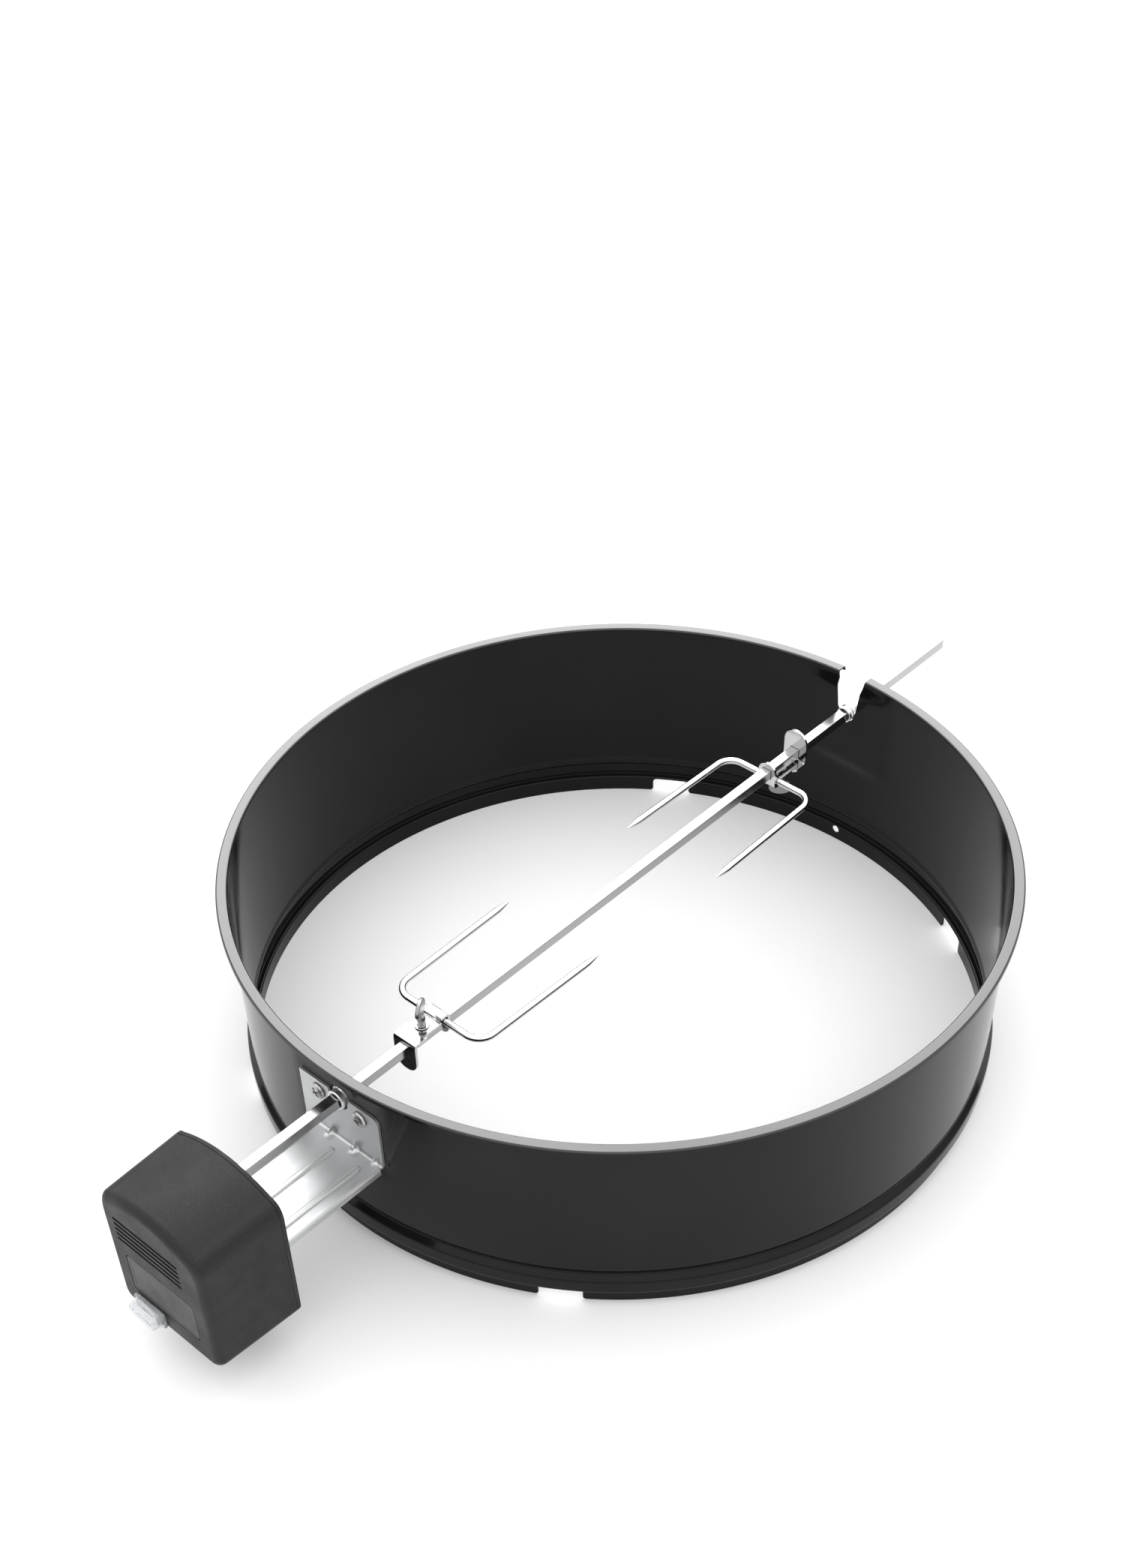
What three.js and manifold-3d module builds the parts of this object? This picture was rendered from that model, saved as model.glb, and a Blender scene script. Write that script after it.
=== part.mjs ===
// Spit-roasting attachment for a round charcoal grill: an enamelled ring that sits between
// bowl and lid, a motor unit plugged on to a bracket, and a square spit with two sliding forks.
// Millimetres, +Z up. X runs along the spit from the motor to the free end. Z = 0 is the surface
// that the ring stands on, and X = Y = 0 is the centre of the ring.
import * as THREE from "three";
import { mergeVertices } from "three/addons/utils/BufferGeometryUtils.js";
import Module from "manifold-3d";

const wasm = await Module();
wasm.setup();

// ---------------------------------------------------------------- driving dimensions
const GAP = 0.3;                       // air between pieces that touch
const RING_HEIGHT = 162;
const RIM_RADIUS = 290;                // outer edge of the rolled rim
const WALL_RADIUS = 281.9;             // middle of the sheet
const SHEET = 1.2;                     // thickness of the enamelled sheet
const PAD_X = 278.6;                   // plane of the two flattened pads, middle of the sheet
const AXIS_Z = 128.8;                  // height of the spit axis
const SPIT_SIDE = 8;                   // square section
const SPIT_START = -392;
const SPIT_END = 405;
const SPIT_BEVEL = 0.6;
const SQUARE_HOLE = 8.8;
const FORK_NEAR_X = -187;              // middle of each fork's cross wire
const FORK_FAR_X = 182;
const MOTOR_FACE_X = -377;             // face of the motor unit that looks at the ring
const MOTOR_END_X = -447;

// ---------------------------------------------------------------- materials
function paint(colour, roughness, metalness) {
  return new THREE.MeshStandardMaterial({ color: colour, roughness, metalness });
}
const enamel = () => paint(0x1c1c1e, 0.18, 0.0);
const chrome = () => paint(0xd8dadd, 0.12, 1.0);
const plate = () => paint(0xc4c6c8, 0.35, 1.0);
const blackPlastic = () => paint(0x2b2b2d, 0.6, 0.0);
const clearPlastic = () => paint(0xe4e8ea, 0.1, 0.0);
const switchPlastic = () => paint(0xd23a2a, 0.4, 0.0);
const labelPlastic = () => paint(0x3a3a3c, 0.5, 0.0);
const brass = () => paint(0xb08d4a, 0.35, 1.0);
const gearPlastic = () => paint(0xe6e2d6, 0.5, 0.0);
const iron = () => paint(0x55585c, 0.5, 1.0);

// ---------------------------------------------------------------- geometry helpers
function solid(geometry) {
  const bare = geometry.clone();
  bare.deleteAttribute("normal");
  bare.deleteAttribute("uv");
  const merged = mergeVertices(bare, 1e-4);
  return new wasm.Manifold(new wasm.Mesh({
    numProp: 3,
    vertProperties: new Float32Array(merged.attributes.position.array),
    triVerts: new Uint32Array(merged.index.array),
  }));
}

function geometryOf(manifold) {
  const mesh = manifold.getMesh();
  const geometry = new THREE.BufferGeometry();
  geometry.setAttribute("position", new THREE.BufferAttribute(new Float32Array(mesh.vertProperties), 3));
  geometry.setIndex(new THREE.BufferAttribute(new Uint32Array(mesh.triVerts), 1));
  geometry.computeVertexNormals();
  return geometry;
}

const join = (first, ...rest) => rest.reduce((sum, next) => sum.add(solid(next)), solid(first));
const cut = (body, ...tools) => tools.reduce((left, tool) => left.subtract(solid(tool)), body);

// An outline in (x, y), pulled up from z0 to z1.
function extrudeZ(shape, z0, z1, options = {}) {
  const settings = { depth: z1 - z0, bevelEnabled: false, curveSegments: 6, ...options };
  return new THREE.ExtrudeGeometry(shape, settings).translate(0, 0, z0);
}

// An outline in (y, z), pulled along x from x0 to x1.
function extrudeX(shape, x0, x1, options = {}) {
  const turn = new THREE.Matrix4().makeBasis(
    new THREE.Vector3(0, 1, 0), new THREE.Vector3(0, 0, 1), new THREE.Vector3(1, 0, 0));
  return extrudeZ(shape, x0, x1, options).applyMatrix4(turn);
}

// An outline in (x, z), pulled along y from y0 to y1.
function extrudeY(shape, y0, y1, options = {}) {
  const turn = new THREE.Matrix4().makeBasis(
    new THREE.Vector3(1, 0, 0), new THREE.Vector3(0, 0, 1), new THREE.Vector3(0, -1, 0));
  return extrudeZ(shape, -y1, -y0, options).applyMatrix4(turn);
}

function box(x0, x1, y0, y1, z0, z1) {
  return new THREE.BoxGeometry(x1 - x0, y1 - y0, z1 - z0)
    .translate((x0 + x1) / 2, (y0 + y1) / 2, (z0 + z1) / 2);
}

function rodX(radius, x0, x1, y, z, sides = 24) {
  return new THREE.CylinderGeometry(radius, radius, x1 - x0, sides)
    .rotateZ(-Math.PI / 2).translate((x0 + x1) / 2, y, z);
}

function rodZ(radius, z0, z1, sides = 20) {
  return new THREE.CylinderGeometry(radius, radius, z1 - z0, sides)
    .rotateX(Math.PI / 2).translate(0, 0, (z0 + z1) / 2);
}

function roundedRectangle(left, right, bottom, top, radius) {
  const shape = new THREE.Shape();
  shape.moveTo(left + radius, bottom);
  shape.lineTo(right - radius, bottom);
  shape.absarc(right - radius, bottom + radius, radius, -Math.PI / 2, 0);
  shape.lineTo(right, top - radius);
  shape.absarc(right - radius, top - radius, radius, 0, Math.PI / 2);
  shape.lineTo(left + radius, top);
  shape.absarc(left + radius, top - radius, radius, Math.PI / 2, Math.PI);
  shape.lineTo(left, bottom + radius);
  shape.absarc(left + radius, bottom + radius, radius, Math.PI, 1.5 * Math.PI);
  return shape;
}

function circle(x, y, radius) {
  const path = new THREE.Shape();
  path.absarc(x, y, radius, 0, 2 * Math.PI);
  return path;
}

// Both faces of a bent sheet, from the points along its middle, as one closed outline.
function sheetOutline(middle, thickness) {
  const near = [];
  const far = [];
  middle.forEach((point, i) => {
    const before = middle[Math.max(i - 1, 0)];
    const after = middle[Math.min(i + 1, middle.length - 1)];
    const into = point.clone().sub(before).normalize();
    const out = after.clone().sub(point).normalize();
    if (i === 0) into.copy(out);
    if (i === middle.length - 1) out.copy(into);
    const along = into.clone().add(out).normalize();
    const mitre = thickness / 2 / Math.max(along.dot(out), 0.5);
    const side = new THREE.Vector2(along.y, -along.x).multiplyScalar(mitre);
    near.push(point.clone().add(side));
    far.unshift(point.clone().sub(side));
  });
  return [...near, ...far];
}

const smooth = (low, high, value) => THREE.MathUtils.smoothstep(value, low, high);

// ---------------------------------------------------------------- ring
const SKIRT_RADIUS = 280.6;
const SHOULDER_RADIUS = 285.2;
const SHOULDER_LOW = 12;
const SHOULDER_HIGH = 25;
const GROOVE_RADIUS = 280.9;
const GROOVE_Z = 29;
const NOTCH_WIDTH = 31;
const NOTCH_HEIGHT = 11.5;
const NOTCH_ANGLES = [31.5, -31.5, 146.6, -146.6];
const RING_SEGMENTS = 96;
const SLOT_TOP_WIDTH = 23;
const SLOT_RADIUS = 7.2;
const COLLAR_RADIUS = 7.6;               // at the motor side; it turns in the wall's bore
const FAR_COLLAR_RADIUS = 6.6;           // it rests in the round bottom of the slot
const VENT_HOLE_RADIUS = 3.2;
const VENT_HOLE_Z = 9.3;
const BRACKET_SCREW_Y = 20.2;
const BRACKET_SCREW_Z = 123.2;
const SCREW_HOLE_RADIUS = 2.8;
const PAD_LOW = 64;
const PAD_FADE = 16;
const PAD_HIGH = 150;

function ringMiddle() {
  const rimTop = RING_HEIGHT - SHEET / 2;
  const rimEdge = RIM_RADIUS - SHEET / 2;
  return [
    [SKIRT_RADIUS, 0],
    [SKIRT_RADIUS, SHOULDER_LOW],
    [SHOULDER_RADIUS - 0.6, SHOULDER_LOW + 1.6],
    [SHOULDER_RADIUS, SHOULDER_LOW + 4],
    [SHOULDER_RADIUS - 0.8, SHOULDER_HIGH - 1.5],
    [GROOVE_RADIUS, GROOVE_Z],
    [WALL_RADIUS, GROOVE_Z + 4],
    [WALL_RADIUS, PAD_LOW],
    [WALL_RADIUS, PAD_LOW + PAD_FADE],
    [WALL_RADIUS, PAD_HIGH],
    [WALL_RADIUS + 0.2, RING_HEIGHT - 4],
    [WALL_RADIUS + 2.6, rimTop],
    [rimEdge - 1.4, rimTop],
    [rimEdge, rimTop - 2.8],
  ].map(([r, z]) => new THREE.Vector2(r, z));
}

// Presses the wall flat where the spit passes through it.
function flattenPads(geometry) {
  const place = geometry.attributes.position;
  for (let i = 0; i < place.count; i += 1) {
    const x = place.getX(i);
    const z = place.getZ(i);
    const radius = Math.hypot(x, place.getY(i));
    const amount = smooth(PAD_LOW, PAD_LOW + PAD_FADE, z) * (1 - smooth(PAD_HIGH, RING_HEIGHT - 5, z));
    const excess = Math.max(0, Math.abs(x) - PAD_X - (radius - WALL_RADIUS));
    place.setX(i, x - Math.sign(x) * excess * amount);
  }
  return geometry;
}

function ringGeometry() {
  const outline = sheetOutline(ringMiddle(), SHEET);
  outline.push(outline[0].clone());
  const shell = solid(flattenPads(new THREE.LatheGeometry(outline, RING_SEGMENTS).rotateX(Math.PI / 2)));

  const notches = NOTCH_ANGLES.map((degrees) => {
    const half = NOTCH_WIDTH / 2;
    const shape = roundedRectangle(-half, half, -4, NOTCH_HEIGHT, 3);
    return extrudeX(shape, SKIRT_RADIUS - 12, SKIRT_RADIUS + 2).rotateZ(THREE.MathUtils.degToRad(degrees));
  });

  const slot = new THREE.Shape();
  slot.moveTo(-SLOT_TOP_WIDTH / 2 - 1, RING_HEIGHT + 2);
  slot.lineTo(-SLOT_TOP_WIDTH / 2, RING_HEIGHT - 6);
  slot.lineTo(-SLOT_RADIUS - 1.6, AXIS_Z + 4);
  slot.quadraticCurveTo(-SLOT_RADIUS, AXIS_Z + 2, -SLOT_RADIUS, AXIS_Z);
  slot.absarc(0, AXIS_Z, SLOT_RADIUS, Math.PI, 2 * Math.PI);
  slot.quadraticCurveTo(SLOT_RADIUS, AXIS_Z + 2, SLOT_RADIUS + 1.6, AXIS_Z + 4);
  slot.lineTo(SLOT_TOP_WIDTH / 2, RING_HEIGHT - 6);
  slot.lineTo(SLOT_TOP_WIDTH / 2 + 1, RING_HEIGHT + 2);

  const bore = rodX(COLLAR_RADIUS + 0.4, -PAD_X - 8, -PAD_X + 8, 0, AXIS_Z, 32);
  const ventHole = rodX(VENT_HOLE_RADIUS, SKIRT_RADIUS - 10, SKIRT_RADIUS + 10, 0, VENT_HOLE_Z, 16);
  const screwHoles = [-1, 1].map((side) => rodX(
    SCREW_HOLE_RADIUS, -PAD_X - 6, -PAD_X + 6, side * BRACKET_SCREW_Y, BRACKET_SCREW_Z, 16));
  return geometryOf(cut(shell, ...notches, extrudeX(slot, PAD_X - 14, RIM_RADIUS + 4), bore, ventHole,
    ...screwHoles));
}

// ---------------------------------------------------------------- bracket
const BRACKET_SHEET = 2;
const BRACKET_INNER_X = -(PAD_X + SHEET / 2 + GAP);
const BRACKET_OUTER_X = BRACKET_INNER_X - BRACKET_SHEET;
const BRACKET_HALF_WIDTH = 38;
const BRACKET_TOP = 133;
const TRAY_TOP = 88;
const TRAY_END_X = -386;
const TRAY_FLANGE = 6;
const RIB_SPACING = 26;

function bracketGeometry() {
  const w = BRACKET_HALF_WIDTH;
  const face = new THREE.Shape();
  face.moveTo(-w, TRAY_TOP - BRACKET_SHEET);
  face.lineTo(w, TRAY_TOP - BRACKET_SHEET);
  face.lineTo(w, BRACKET_TOP - 1.5);
  face.lineTo(w - 1.5, BRACKET_TOP);
  face.lineTo(-w + 6, BRACKET_TOP);
  face.quadraticCurveTo(-w, BRACKET_TOP, -w, BRACKET_TOP - 6);

  const channel = new THREE.Shape();       // tray and its two turned-down sides, seen along x
  channel.moveTo(-w, TRAY_TOP - TRAY_FLANGE);
  channel.lineTo(-w + BRACKET_SHEET, TRAY_TOP - TRAY_FLANGE);
  channel.lineTo(-w + BRACKET_SHEET, TRAY_TOP - BRACKET_SHEET);
  channel.lineTo(w - BRACKET_SHEET, TRAY_TOP - BRACKET_SHEET);
  channel.lineTo(w - BRACKET_SHEET, TRAY_TOP - TRAY_FLANGE);
  channel.lineTo(w, TRAY_TOP - TRAY_FLANGE);
  channel.lineTo(w, TRAY_TOP - 2);
  channel.quadraticCurveTo(w, TRAY_TOP, w - 2, TRAY_TOP);
  channel.lineTo(-w + 2, TRAY_TOP);
  channel.quadraticCurveTo(-w, TRAY_TOP, -w, TRAY_TOP - 2);

  const ribs = [-1, 0, 1].map((step) => rib(step * RIB_SPACING));
  const gussets = [-12, 12].map((y) => gusset(y, 6)).concat([-31, 31].map((y) => gusset(y, 3.5)));
  const body = join(
    extrudeX(face, BRACKET_OUTER_X, BRACKET_INNER_X, { curveSegments: 4 }),
    extrudeX(channel, TRAY_END_X, BRACKET_OUTER_X + BRACKET_SHEET, { curveSegments: 3 }),
    ...ribs, ...gussets);

  const notchRadius = COLLAR_RADIUS + 0.8;
  const notch = new THREE.Shape();
  notch.moveTo(-notchRadius - 2, BRACKET_TOP + 3);
  notch.lineTo(-notchRadius, AXIS_Z);
  notch.absarc(0, AXIS_Z, notchRadius, Math.PI, 2 * Math.PI);
  notch.lineTo(notchRadius + 2, BRACKET_TOP + 3);
  const holes = [-1, 1].map((side) => rodX(SCREW_HOLE_RADIUS, BRACKET_OUTER_X - 5, BRACKET_INNER_X + 5,
    side * BRACKET_SCREW_Y, BRACKET_SCREW_Z, 16));
  return geometryOf(cut(body, extrudeX(notch, BRACKET_OUTER_X - 5, BRACKET_INNER_X + 5), ...holes));
}

// A raised stiffening rib along the tray: a low half-round bar with rounded ends.
function rib(y) {
  const half = 2.4;
  const ends = new THREE.Shape();
  ends.absarc(-364 + half, y, half, Math.PI / 2, 1.5 * Math.PI);
  ends.absarc(-293 - half, y, half, -Math.PI / 2, Math.PI / 2);
  return extrudeZ(ends, TRAY_TOP - 0.5, TRAY_TOP + 0.6,
    { bevelEnabled: true, bevelThickness: 0.9, bevelSize: 1.2, bevelOffset: -1.2, bevelSegments: 2 });
}

// A pressed dimple across the bend between plate and tray.
function gusset(y, size) {
  const corner = new THREE.Shape();
  corner.moveTo(BRACKET_OUTER_X + 1, TRAY_TOP - 1);
  corner.lineTo(BRACKET_OUTER_X + 1, TRAY_TOP + size);
  corner.lineTo(BRACKET_OUTER_X - size, TRAY_TOP - 1);
  return extrudeY(corner, y - size / 2, y + size / 2);
}

// Pan-head screw along x: the head is on the side of smaller x.
function panScrew(headRadius, headHeight, shaftRadius, shaftLength) {
  const dome = new THREE.LatheGeometry([
    new THREE.Vector2(0, 0),
    new THREE.Vector2(shaftRadius, 0),
    new THREE.Vector2(shaftRadius, shaftLength),
    new THREE.Vector2(headRadius, shaftLength),
    new THREE.Vector2(headRadius, shaftLength + headHeight * 0.45),
    new THREE.Vector2(headRadius * 0.8, shaftLength + headHeight * 0.85),
    new THREE.Vector2(headRadius * 0.45, shaftLength + headHeight),
    new THREE.Vector2(0, shaftLength + headHeight),
  ], 14);
  const slotDepth = headHeight * 0.45;
  const slotWidth = headRadius * 0.2;
  const top = shaftLength + headHeight;
  const slots = [[headRadius * 0.7, slotWidth], [slotWidth, headRadius * 0.7]].map(([x, z]) => (
    new THREE.BoxGeometry(2 * x, 2 * slotDepth, 2 * z).translate(0, top, 0)));
  return geometryOf(cut(solid(dome), ...slots)).translate(0, -shaftLength, 0).rotateZ(Math.PI / 2);
}

function hexNut(radius, bore, thickness) {
  const shape = new THREE.Shape();
  for (let i = 0; i < 6; i += 1) {
    const angle = (i * Math.PI) / 3;
    const move = i === 0 ? "moveTo" : "lineTo";
    shape[move](radius * Math.cos(angle), radius * Math.sin(angle));
  }
  shape.holes.push(circle(0, 0, bore));
  return extrudeX(shape, 0, thickness, { curveSegments: 12 });
}

// ---------------------------------------------------------------- motor unit
const MOTOR_HALF_WIDTH = 51.5;
const MOTOR_BOTTOM = 31.5;
const MOTOR_SHOULDER = 129.5;
const MOTOR_CROWN = 154.5;
const MOTOR_CORNER = 10;
const MOTOR_DRAFT = 0.035;               // share by which the far end is smaller than the front
const MOTOR_EDGE = 6.5;                // rounding of the outer edges
const COVER_THICKNESS = 3;
const SHELL_WALL = 2.6;
const HOUSING_START_X = MOTOR_FACE_X - COVER_THICKNESS - GAP;
const MOTOR_MID_Z = (MOTOR_BOTTOM + MOTOR_CROWN) / 2;

// Outline of the unit seen along the spit, drawn inward by inset.
function motorOutline(inset) {
  const w = MOTOR_HALF_WIDTH - inset;
  const bottom = MOTOR_BOTTOM + inset;
  const corner = MOTOR_CORNER - inset;
  const shoulder = MOTOR_SHOULDER - inset;
  const top = MOTOR_CROWN - 10 - inset;
  const crownControl = 2 * (MOTOR_CROWN - inset) - top;
  const shape = new THREE.Shape();
  shape.moveTo(-w + corner, bottom);
  shape.lineTo(w - corner, bottom);
  shape.absarc(w - corner, bottom + corner, corner, -Math.PI / 2, 0);
  shape.lineTo(w, shoulder);
  shape.quadraticCurveTo(w, top - 1.5, w - 9, top);
  shape.quadraticCurveTo(0, crownControl, -w + 9, top);
  shape.quadraticCurveTo(-w, top - 1.5, -w, shoulder);
  shape.lineTo(-w, bottom + corner);
  shape.absarc(-w + corner, bottom + corner, corner, Math.PI, 1.5 * Math.PI);
  return shape;
}

// Draws the far end of the moulding in a little, as mould draft does.
function draft(geometry) {
  const place = geometry.attributes.position;
  for (let i = 0; i < place.count; i += 1) {
    const share = (HOUSING_START_X - place.getX(i)) / (HOUSING_START_X - MOTOR_END_X);
    const scale = 1 - MOTOR_DRAFT * THREE.MathUtils.clamp(share, 0, 1);
    place.setY(i, place.getY(i) * scale);
    place.setZ(i, MOTOR_MID_Z + (place.getZ(i) - MOTOR_MID_Z) * scale);
  }
  return geometry;
}

const VENT_COUNT = 5;
const VENT_PITCH = 5;
const VENT_FIRST_Z = 105;
const LABEL_HALF_WIDTH = 33;
const LABEL_LOW = 55;
const LABEL_HIGH = 90;
const SWITCH_Y = 18;
const SWITCH_Z = 44.5;
const SWITCH_HALF_WIDTH = 15;
const SWITCH_HALF_HEIGHT = 7;
const BEZEL_THICKNESS = 2.4;
const BOOT_HEIGHT = 7.5;
const BOOT_END_X = MOTOR_END_X - GAP - BEZEL_THICKNESS - GAP - BOOT_HEIGHT;

function housingGeometry() {
  const round = (edge) => ({ bevelEnabled: true, bevelThickness: edge, bevelSize: edge, bevelOffset: -edge,
    bevelSegments: 4, curveSegments: 5 });
  const innerEdge = MOTOR_EDGE - SHELL_WALL;
  const beyond = HOUSING_START_X + 2 * MOTOR_EDGE;
  const outer = draft(extrudeX(motorOutline(0), MOTOR_END_X + MOTOR_EDGE, beyond, round(MOTOR_EDGE)));
  const inner = draft(extrudeX(motorOutline(SHELL_WALL), MOTOR_END_X + SHELL_WALL + innerEdge,
    beyond + MOTOR_EDGE, round(innerEdge)));
  const openEnd = box(HOUSING_START_X, HOUSING_START_X + 60, -90, 90, 0, 200);
  const vents = Array.from({ length: VENT_COUNT }, (_, i) => {
    const z = VENT_FIRST_Z + i * VENT_PITCH;
    return extrudeX(roundedRectangle(-27, 37, z - 1.2, z + 1.2, 1.1), MOTOR_END_X - 2, MOTOR_END_X + 5,
      { curveSegments: 2 });
  });
  const labelRecess = extrudeX(
    roundedRectangle(-LABEL_HALF_WIDTH - 0.6, LABEL_HALF_WIDTH + 0.6, LABEL_LOW - 0.6, LABEL_HIGH + 0.6, 3),
    MOTOR_END_X - 2, MOTOR_END_X + 1);
  const switchHole = box(MOTOR_END_X - 2, MOTOR_END_X + 6, SWITCH_Y - 12.6, SWITCH_Y + 12.6,
    SWITCH_Z - 4.8, SWITCH_Z + 4.8);
  return geometryOf(cut(solid(outer), inner, openEnd, ...vents, labelRecess, switchHole));
}

const COVER_SCREWS = [[-40, 46], [40, 46], [-39, 122], [39, 122]];
const COVER_SCREW_HOLE = 1.9;

function coverGeometry() {
  const sleeveHalf = BRACKET_HALF_WIDTH + 0.6;
  const sleeveLow = TRAY_TOP - TRAY_FLANGE - 0.6;
  const sleeveHigh = TRAY_TOP + 2.4;
  const wall = 2.2;
  const sleeve = box(MOTOR_FACE_X - 13, MOTOR_FACE_X - 1, -sleeveHalf - wall, sleeveHalf + wall,
    sleeveLow - wall, sleeveHigh + wall);
  const opening = box(MOTOR_FACE_X - 20, MOTOR_FACE_X + 5, -sleeveHalf, sleeveHalf, sleeveLow, sleeveHigh);
  const plateSolid = join(extrudeX(motorOutline(0.6), MOTOR_FACE_X - COVER_THICKNESS, MOTOR_FACE_X), sleeve);
  const bore = rodX(DRIVE_RADIUS + 0.5, MOTOR_FACE_X - 20, MOTOR_FACE_X + 5, 0, AXIS_Z, 32);
  const holes = COVER_SCREWS.map(([y, z]) => rodX(COVER_SCREW_HOLE, MOTOR_FACE_X - 8, MOTOR_FACE_X + 5, y, z, 12));
  return geometryOf(cut(plateSolid, opening, bore, ...holes));
}

function bezelGeometry() {
  const face = MOTOR_END_X - GAP;
  const frame = roundedRectangle(SWITCH_Y - SWITCH_HALF_WIDTH, SWITCH_Y + SWITCH_HALF_WIDTH,
    SWITCH_Z - SWITCH_HALF_HEIGHT, SWITCH_Z + SWITCH_HALF_HEIGHT, 1.5);
  frame.holes.push(roundedRectangle(SWITCH_Y - 12, SWITCH_Y + 12, SWITCH_Z - 4.4, SWITCH_Z + 4.4, 0.8));
  return extrudeX(frame, face - BEZEL_THICKNESS, face, { curveSegments: 3 });
}

// Rocker seen from above: two faces that meet at a shallow angle over the pivot.
const ROCKER_TILT = 10;
function rockerGeometry() {
  const half = 11.2;
  const top = new THREE.Shape();
  top.moveTo(3, -half + 1);
  top.lineTo(3, half - 1);
  top.lineTo(-4.6, half);
  top.lineTo(-2.6, 0);
  top.lineTo(-4.6, -half);
  return extrudeZ(top, -4, 4).rotateZ(THREE.MathUtils.degToRad(-ROCKER_TILT / 2));
}

function bootGeometry() {
  const foot = BOOT_END_X + BOOT_HEIGHT;
  const round = (edge) => ({ bevelEnabled: true, bevelThickness: edge, bevelSize: edge, bevelOffset: -edge,
    bevelSegments: 3, curveSegments: 3 });
  const outline = (inset) => roundedRectangle(SWITCH_Y - 13.4 + inset, SWITCH_Y + 13.4 - inset,
    SWITCH_Z - 6 + inset, SWITCH_Z + 6 - inset, 3.2 - inset);
  const outer = solid(extrudeX(outline(0), BOOT_END_X + 3, foot + 3, round(3)));
  return geometryOf(cut(outer, extrudeX(outline(1), BOOT_END_X + 1 + 2, foot + 6, round(2)),
    box(foot, foot + 20, -60, 60, 20, 80)));
}

// ---------------------------------------------------------------- drive train inside the motor unit
const DRIVE_RADIUS = 10;
const GEAR_MODULE = 1;
const WHEEL_TEETH = 36;
const PINION_TEETH = 12;
const AXLE_SPACING = (GEAR_MODULE * (WHEEL_TEETH + PINION_TEETH)) / 2 + 0.35;
const OUTPUT_GEAR_X = -403;
const IDLER_WHEEL_X = -411;
const GEAR_WIDTH = 6;
const IDLER_Z = AXIS_Z - AXLE_SPACING;
const ROTOR_Z = IDLER_Z - AXLE_SPACING;
const STATOR_RADIUS = 21;
const ROTOR_RADIUS = 12;
const STATOR_X = -440;
const STATOR_LENGTH = 25;

// Spur gear outline with plain slanted teeth; phase is in tooth pitches.
function gearShape(teeth, phase) {
  const pitchRadius = (GEAR_MODULE * teeth) / 2;
  const pitch = (2 * Math.PI) / teeth;
  const root = pitchRadius - 1.15 * GEAR_MODULE;
  const tip = pitchRadius + 0.8 * GEAR_MODULE;
  const corners = [[root, -0.28], [tip, -0.11], [tip, 0.11], [root, 0.28]];
  const points = [];
  for (let tooth = 0; tooth < teeth; tooth += 1) {
    corners.forEach(([radius, offset]) => {
      const angle = (tooth + phase + offset) * pitch;
      points.push(new THREE.Vector2(radius * Math.cos(angle), radius * Math.sin(angle)));
    });
  }
  return new THREE.Shape(points);
}

const gear = (teeth, phase, x0) => extrudeX(gearShape(teeth, phase), x0, x0 + GEAR_WIDTH);

// Teeth are set so that a tooth of one gear faces a gap of the next straight below or above it.
function driveGeometry() {
  const length = MOTOR_FACE_X - GAP - OUTPUT_GEAR_X;
  const body = join(rodX(DRIVE_RADIUS, OUTPUT_GEAR_X, OUTPUT_GEAR_X + length, 0, 0),
    gear(WHEEL_TEETH, 0, OUTPUT_GEAR_X));
  const half = SQUARE_HOLE / 2;
  return geometryOf(cut(body, box(SPIT_START - 1.5, MOTOR_FACE_X + 5, -half, half, -half, half)));
}

function idlerGeometry() {
  return geometryOf(join(gear(PINION_TEETH, 0.5, OUTPUT_GEAR_X),
    gear(WHEEL_TEETH, 0, IDLER_WHEEL_X),
    rodX(4, IDLER_WHEEL_X, OUTPUT_GEAR_X + 1, 0, 0, 16),
    rodX(2, IDLER_WHEEL_X - 4, MOTOR_FACE_X - 16, 0, 0, 12)));
}

function rotorGeometry() {
  return geometryOf(join(gear(PINION_TEETH, 0.5, IDLER_WHEEL_X),
    rodX(2, STATOR_X - 3, IDLER_WHEEL_X + GEAR_WIDTH + 3, 0, 0, 12),
    rodX(ROTOR_RADIUS - 0.6, STATOR_X + 2, STATOR_X + STATOR_LENGTH - 2, 0, 0)));
}

function statorGeometry() {
  const shape = circle(0, ROTOR_Z, STATOR_RADIUS);
  shape.holes.push(circle(0, ROTOR_Z, ROTOR_RADIUS));
  const lugs = [-1, 1].map((side) => box(STATOR_X, STATOR_X + 3, side * 27 - 8, side * 27 + 8,
    ROTOR_Z - 5, ROTOR_Z + 5));
  return geometryOf(join(extrudeX(shape, STATOR_X, STATOR_X + STATOR_LENGTH, { curveSegments: 14 }), ...lugs));
}

function gearPlateGeometry() {
  const x0 = MOTOR_FACE_X - 18;
  const sheet = extrudeX(roundedRectangle(-30, 30, ROTOR_Z - 12, AXIS_Z + 15, 5), x0, x0 + 2);
  const holes = [
    rodX(DRIVE_RADIUS + 0.5, x0 - 5, x0 + 7, 0, AXIS_Z),
    rodX(2.4, x0 - 5, x0 + 7, 0, IDLER_Z, 12),
  ];
  const posts = [-25, 25].map((y) => rodX(2.5, x0 + 1, MOTOR_FACE_X - COVER_THICKNESS - GAP, y, IDLER_Z + 8, 10));
  return geometryOf(cut(join(sheet, ...posts), ...holes));
}

// ---------------------------------------------------------------- spit
function spitGeometry() {
  const half = SPIT_SIDE / 2;
  const section = roundedRectangle(-half, half, -half, half, 0.5);
  return extrudeX(section, SPIT_START, SPIT_END,
    { curveSegments: 1, bevelEnabled: true, bevelThickness: SPIT_BEVEL, bevelSize: SPIT_BEVEL,
      bevelOffset: -SPIT_BEVEL, bevelSegments: 1 });
}

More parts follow.
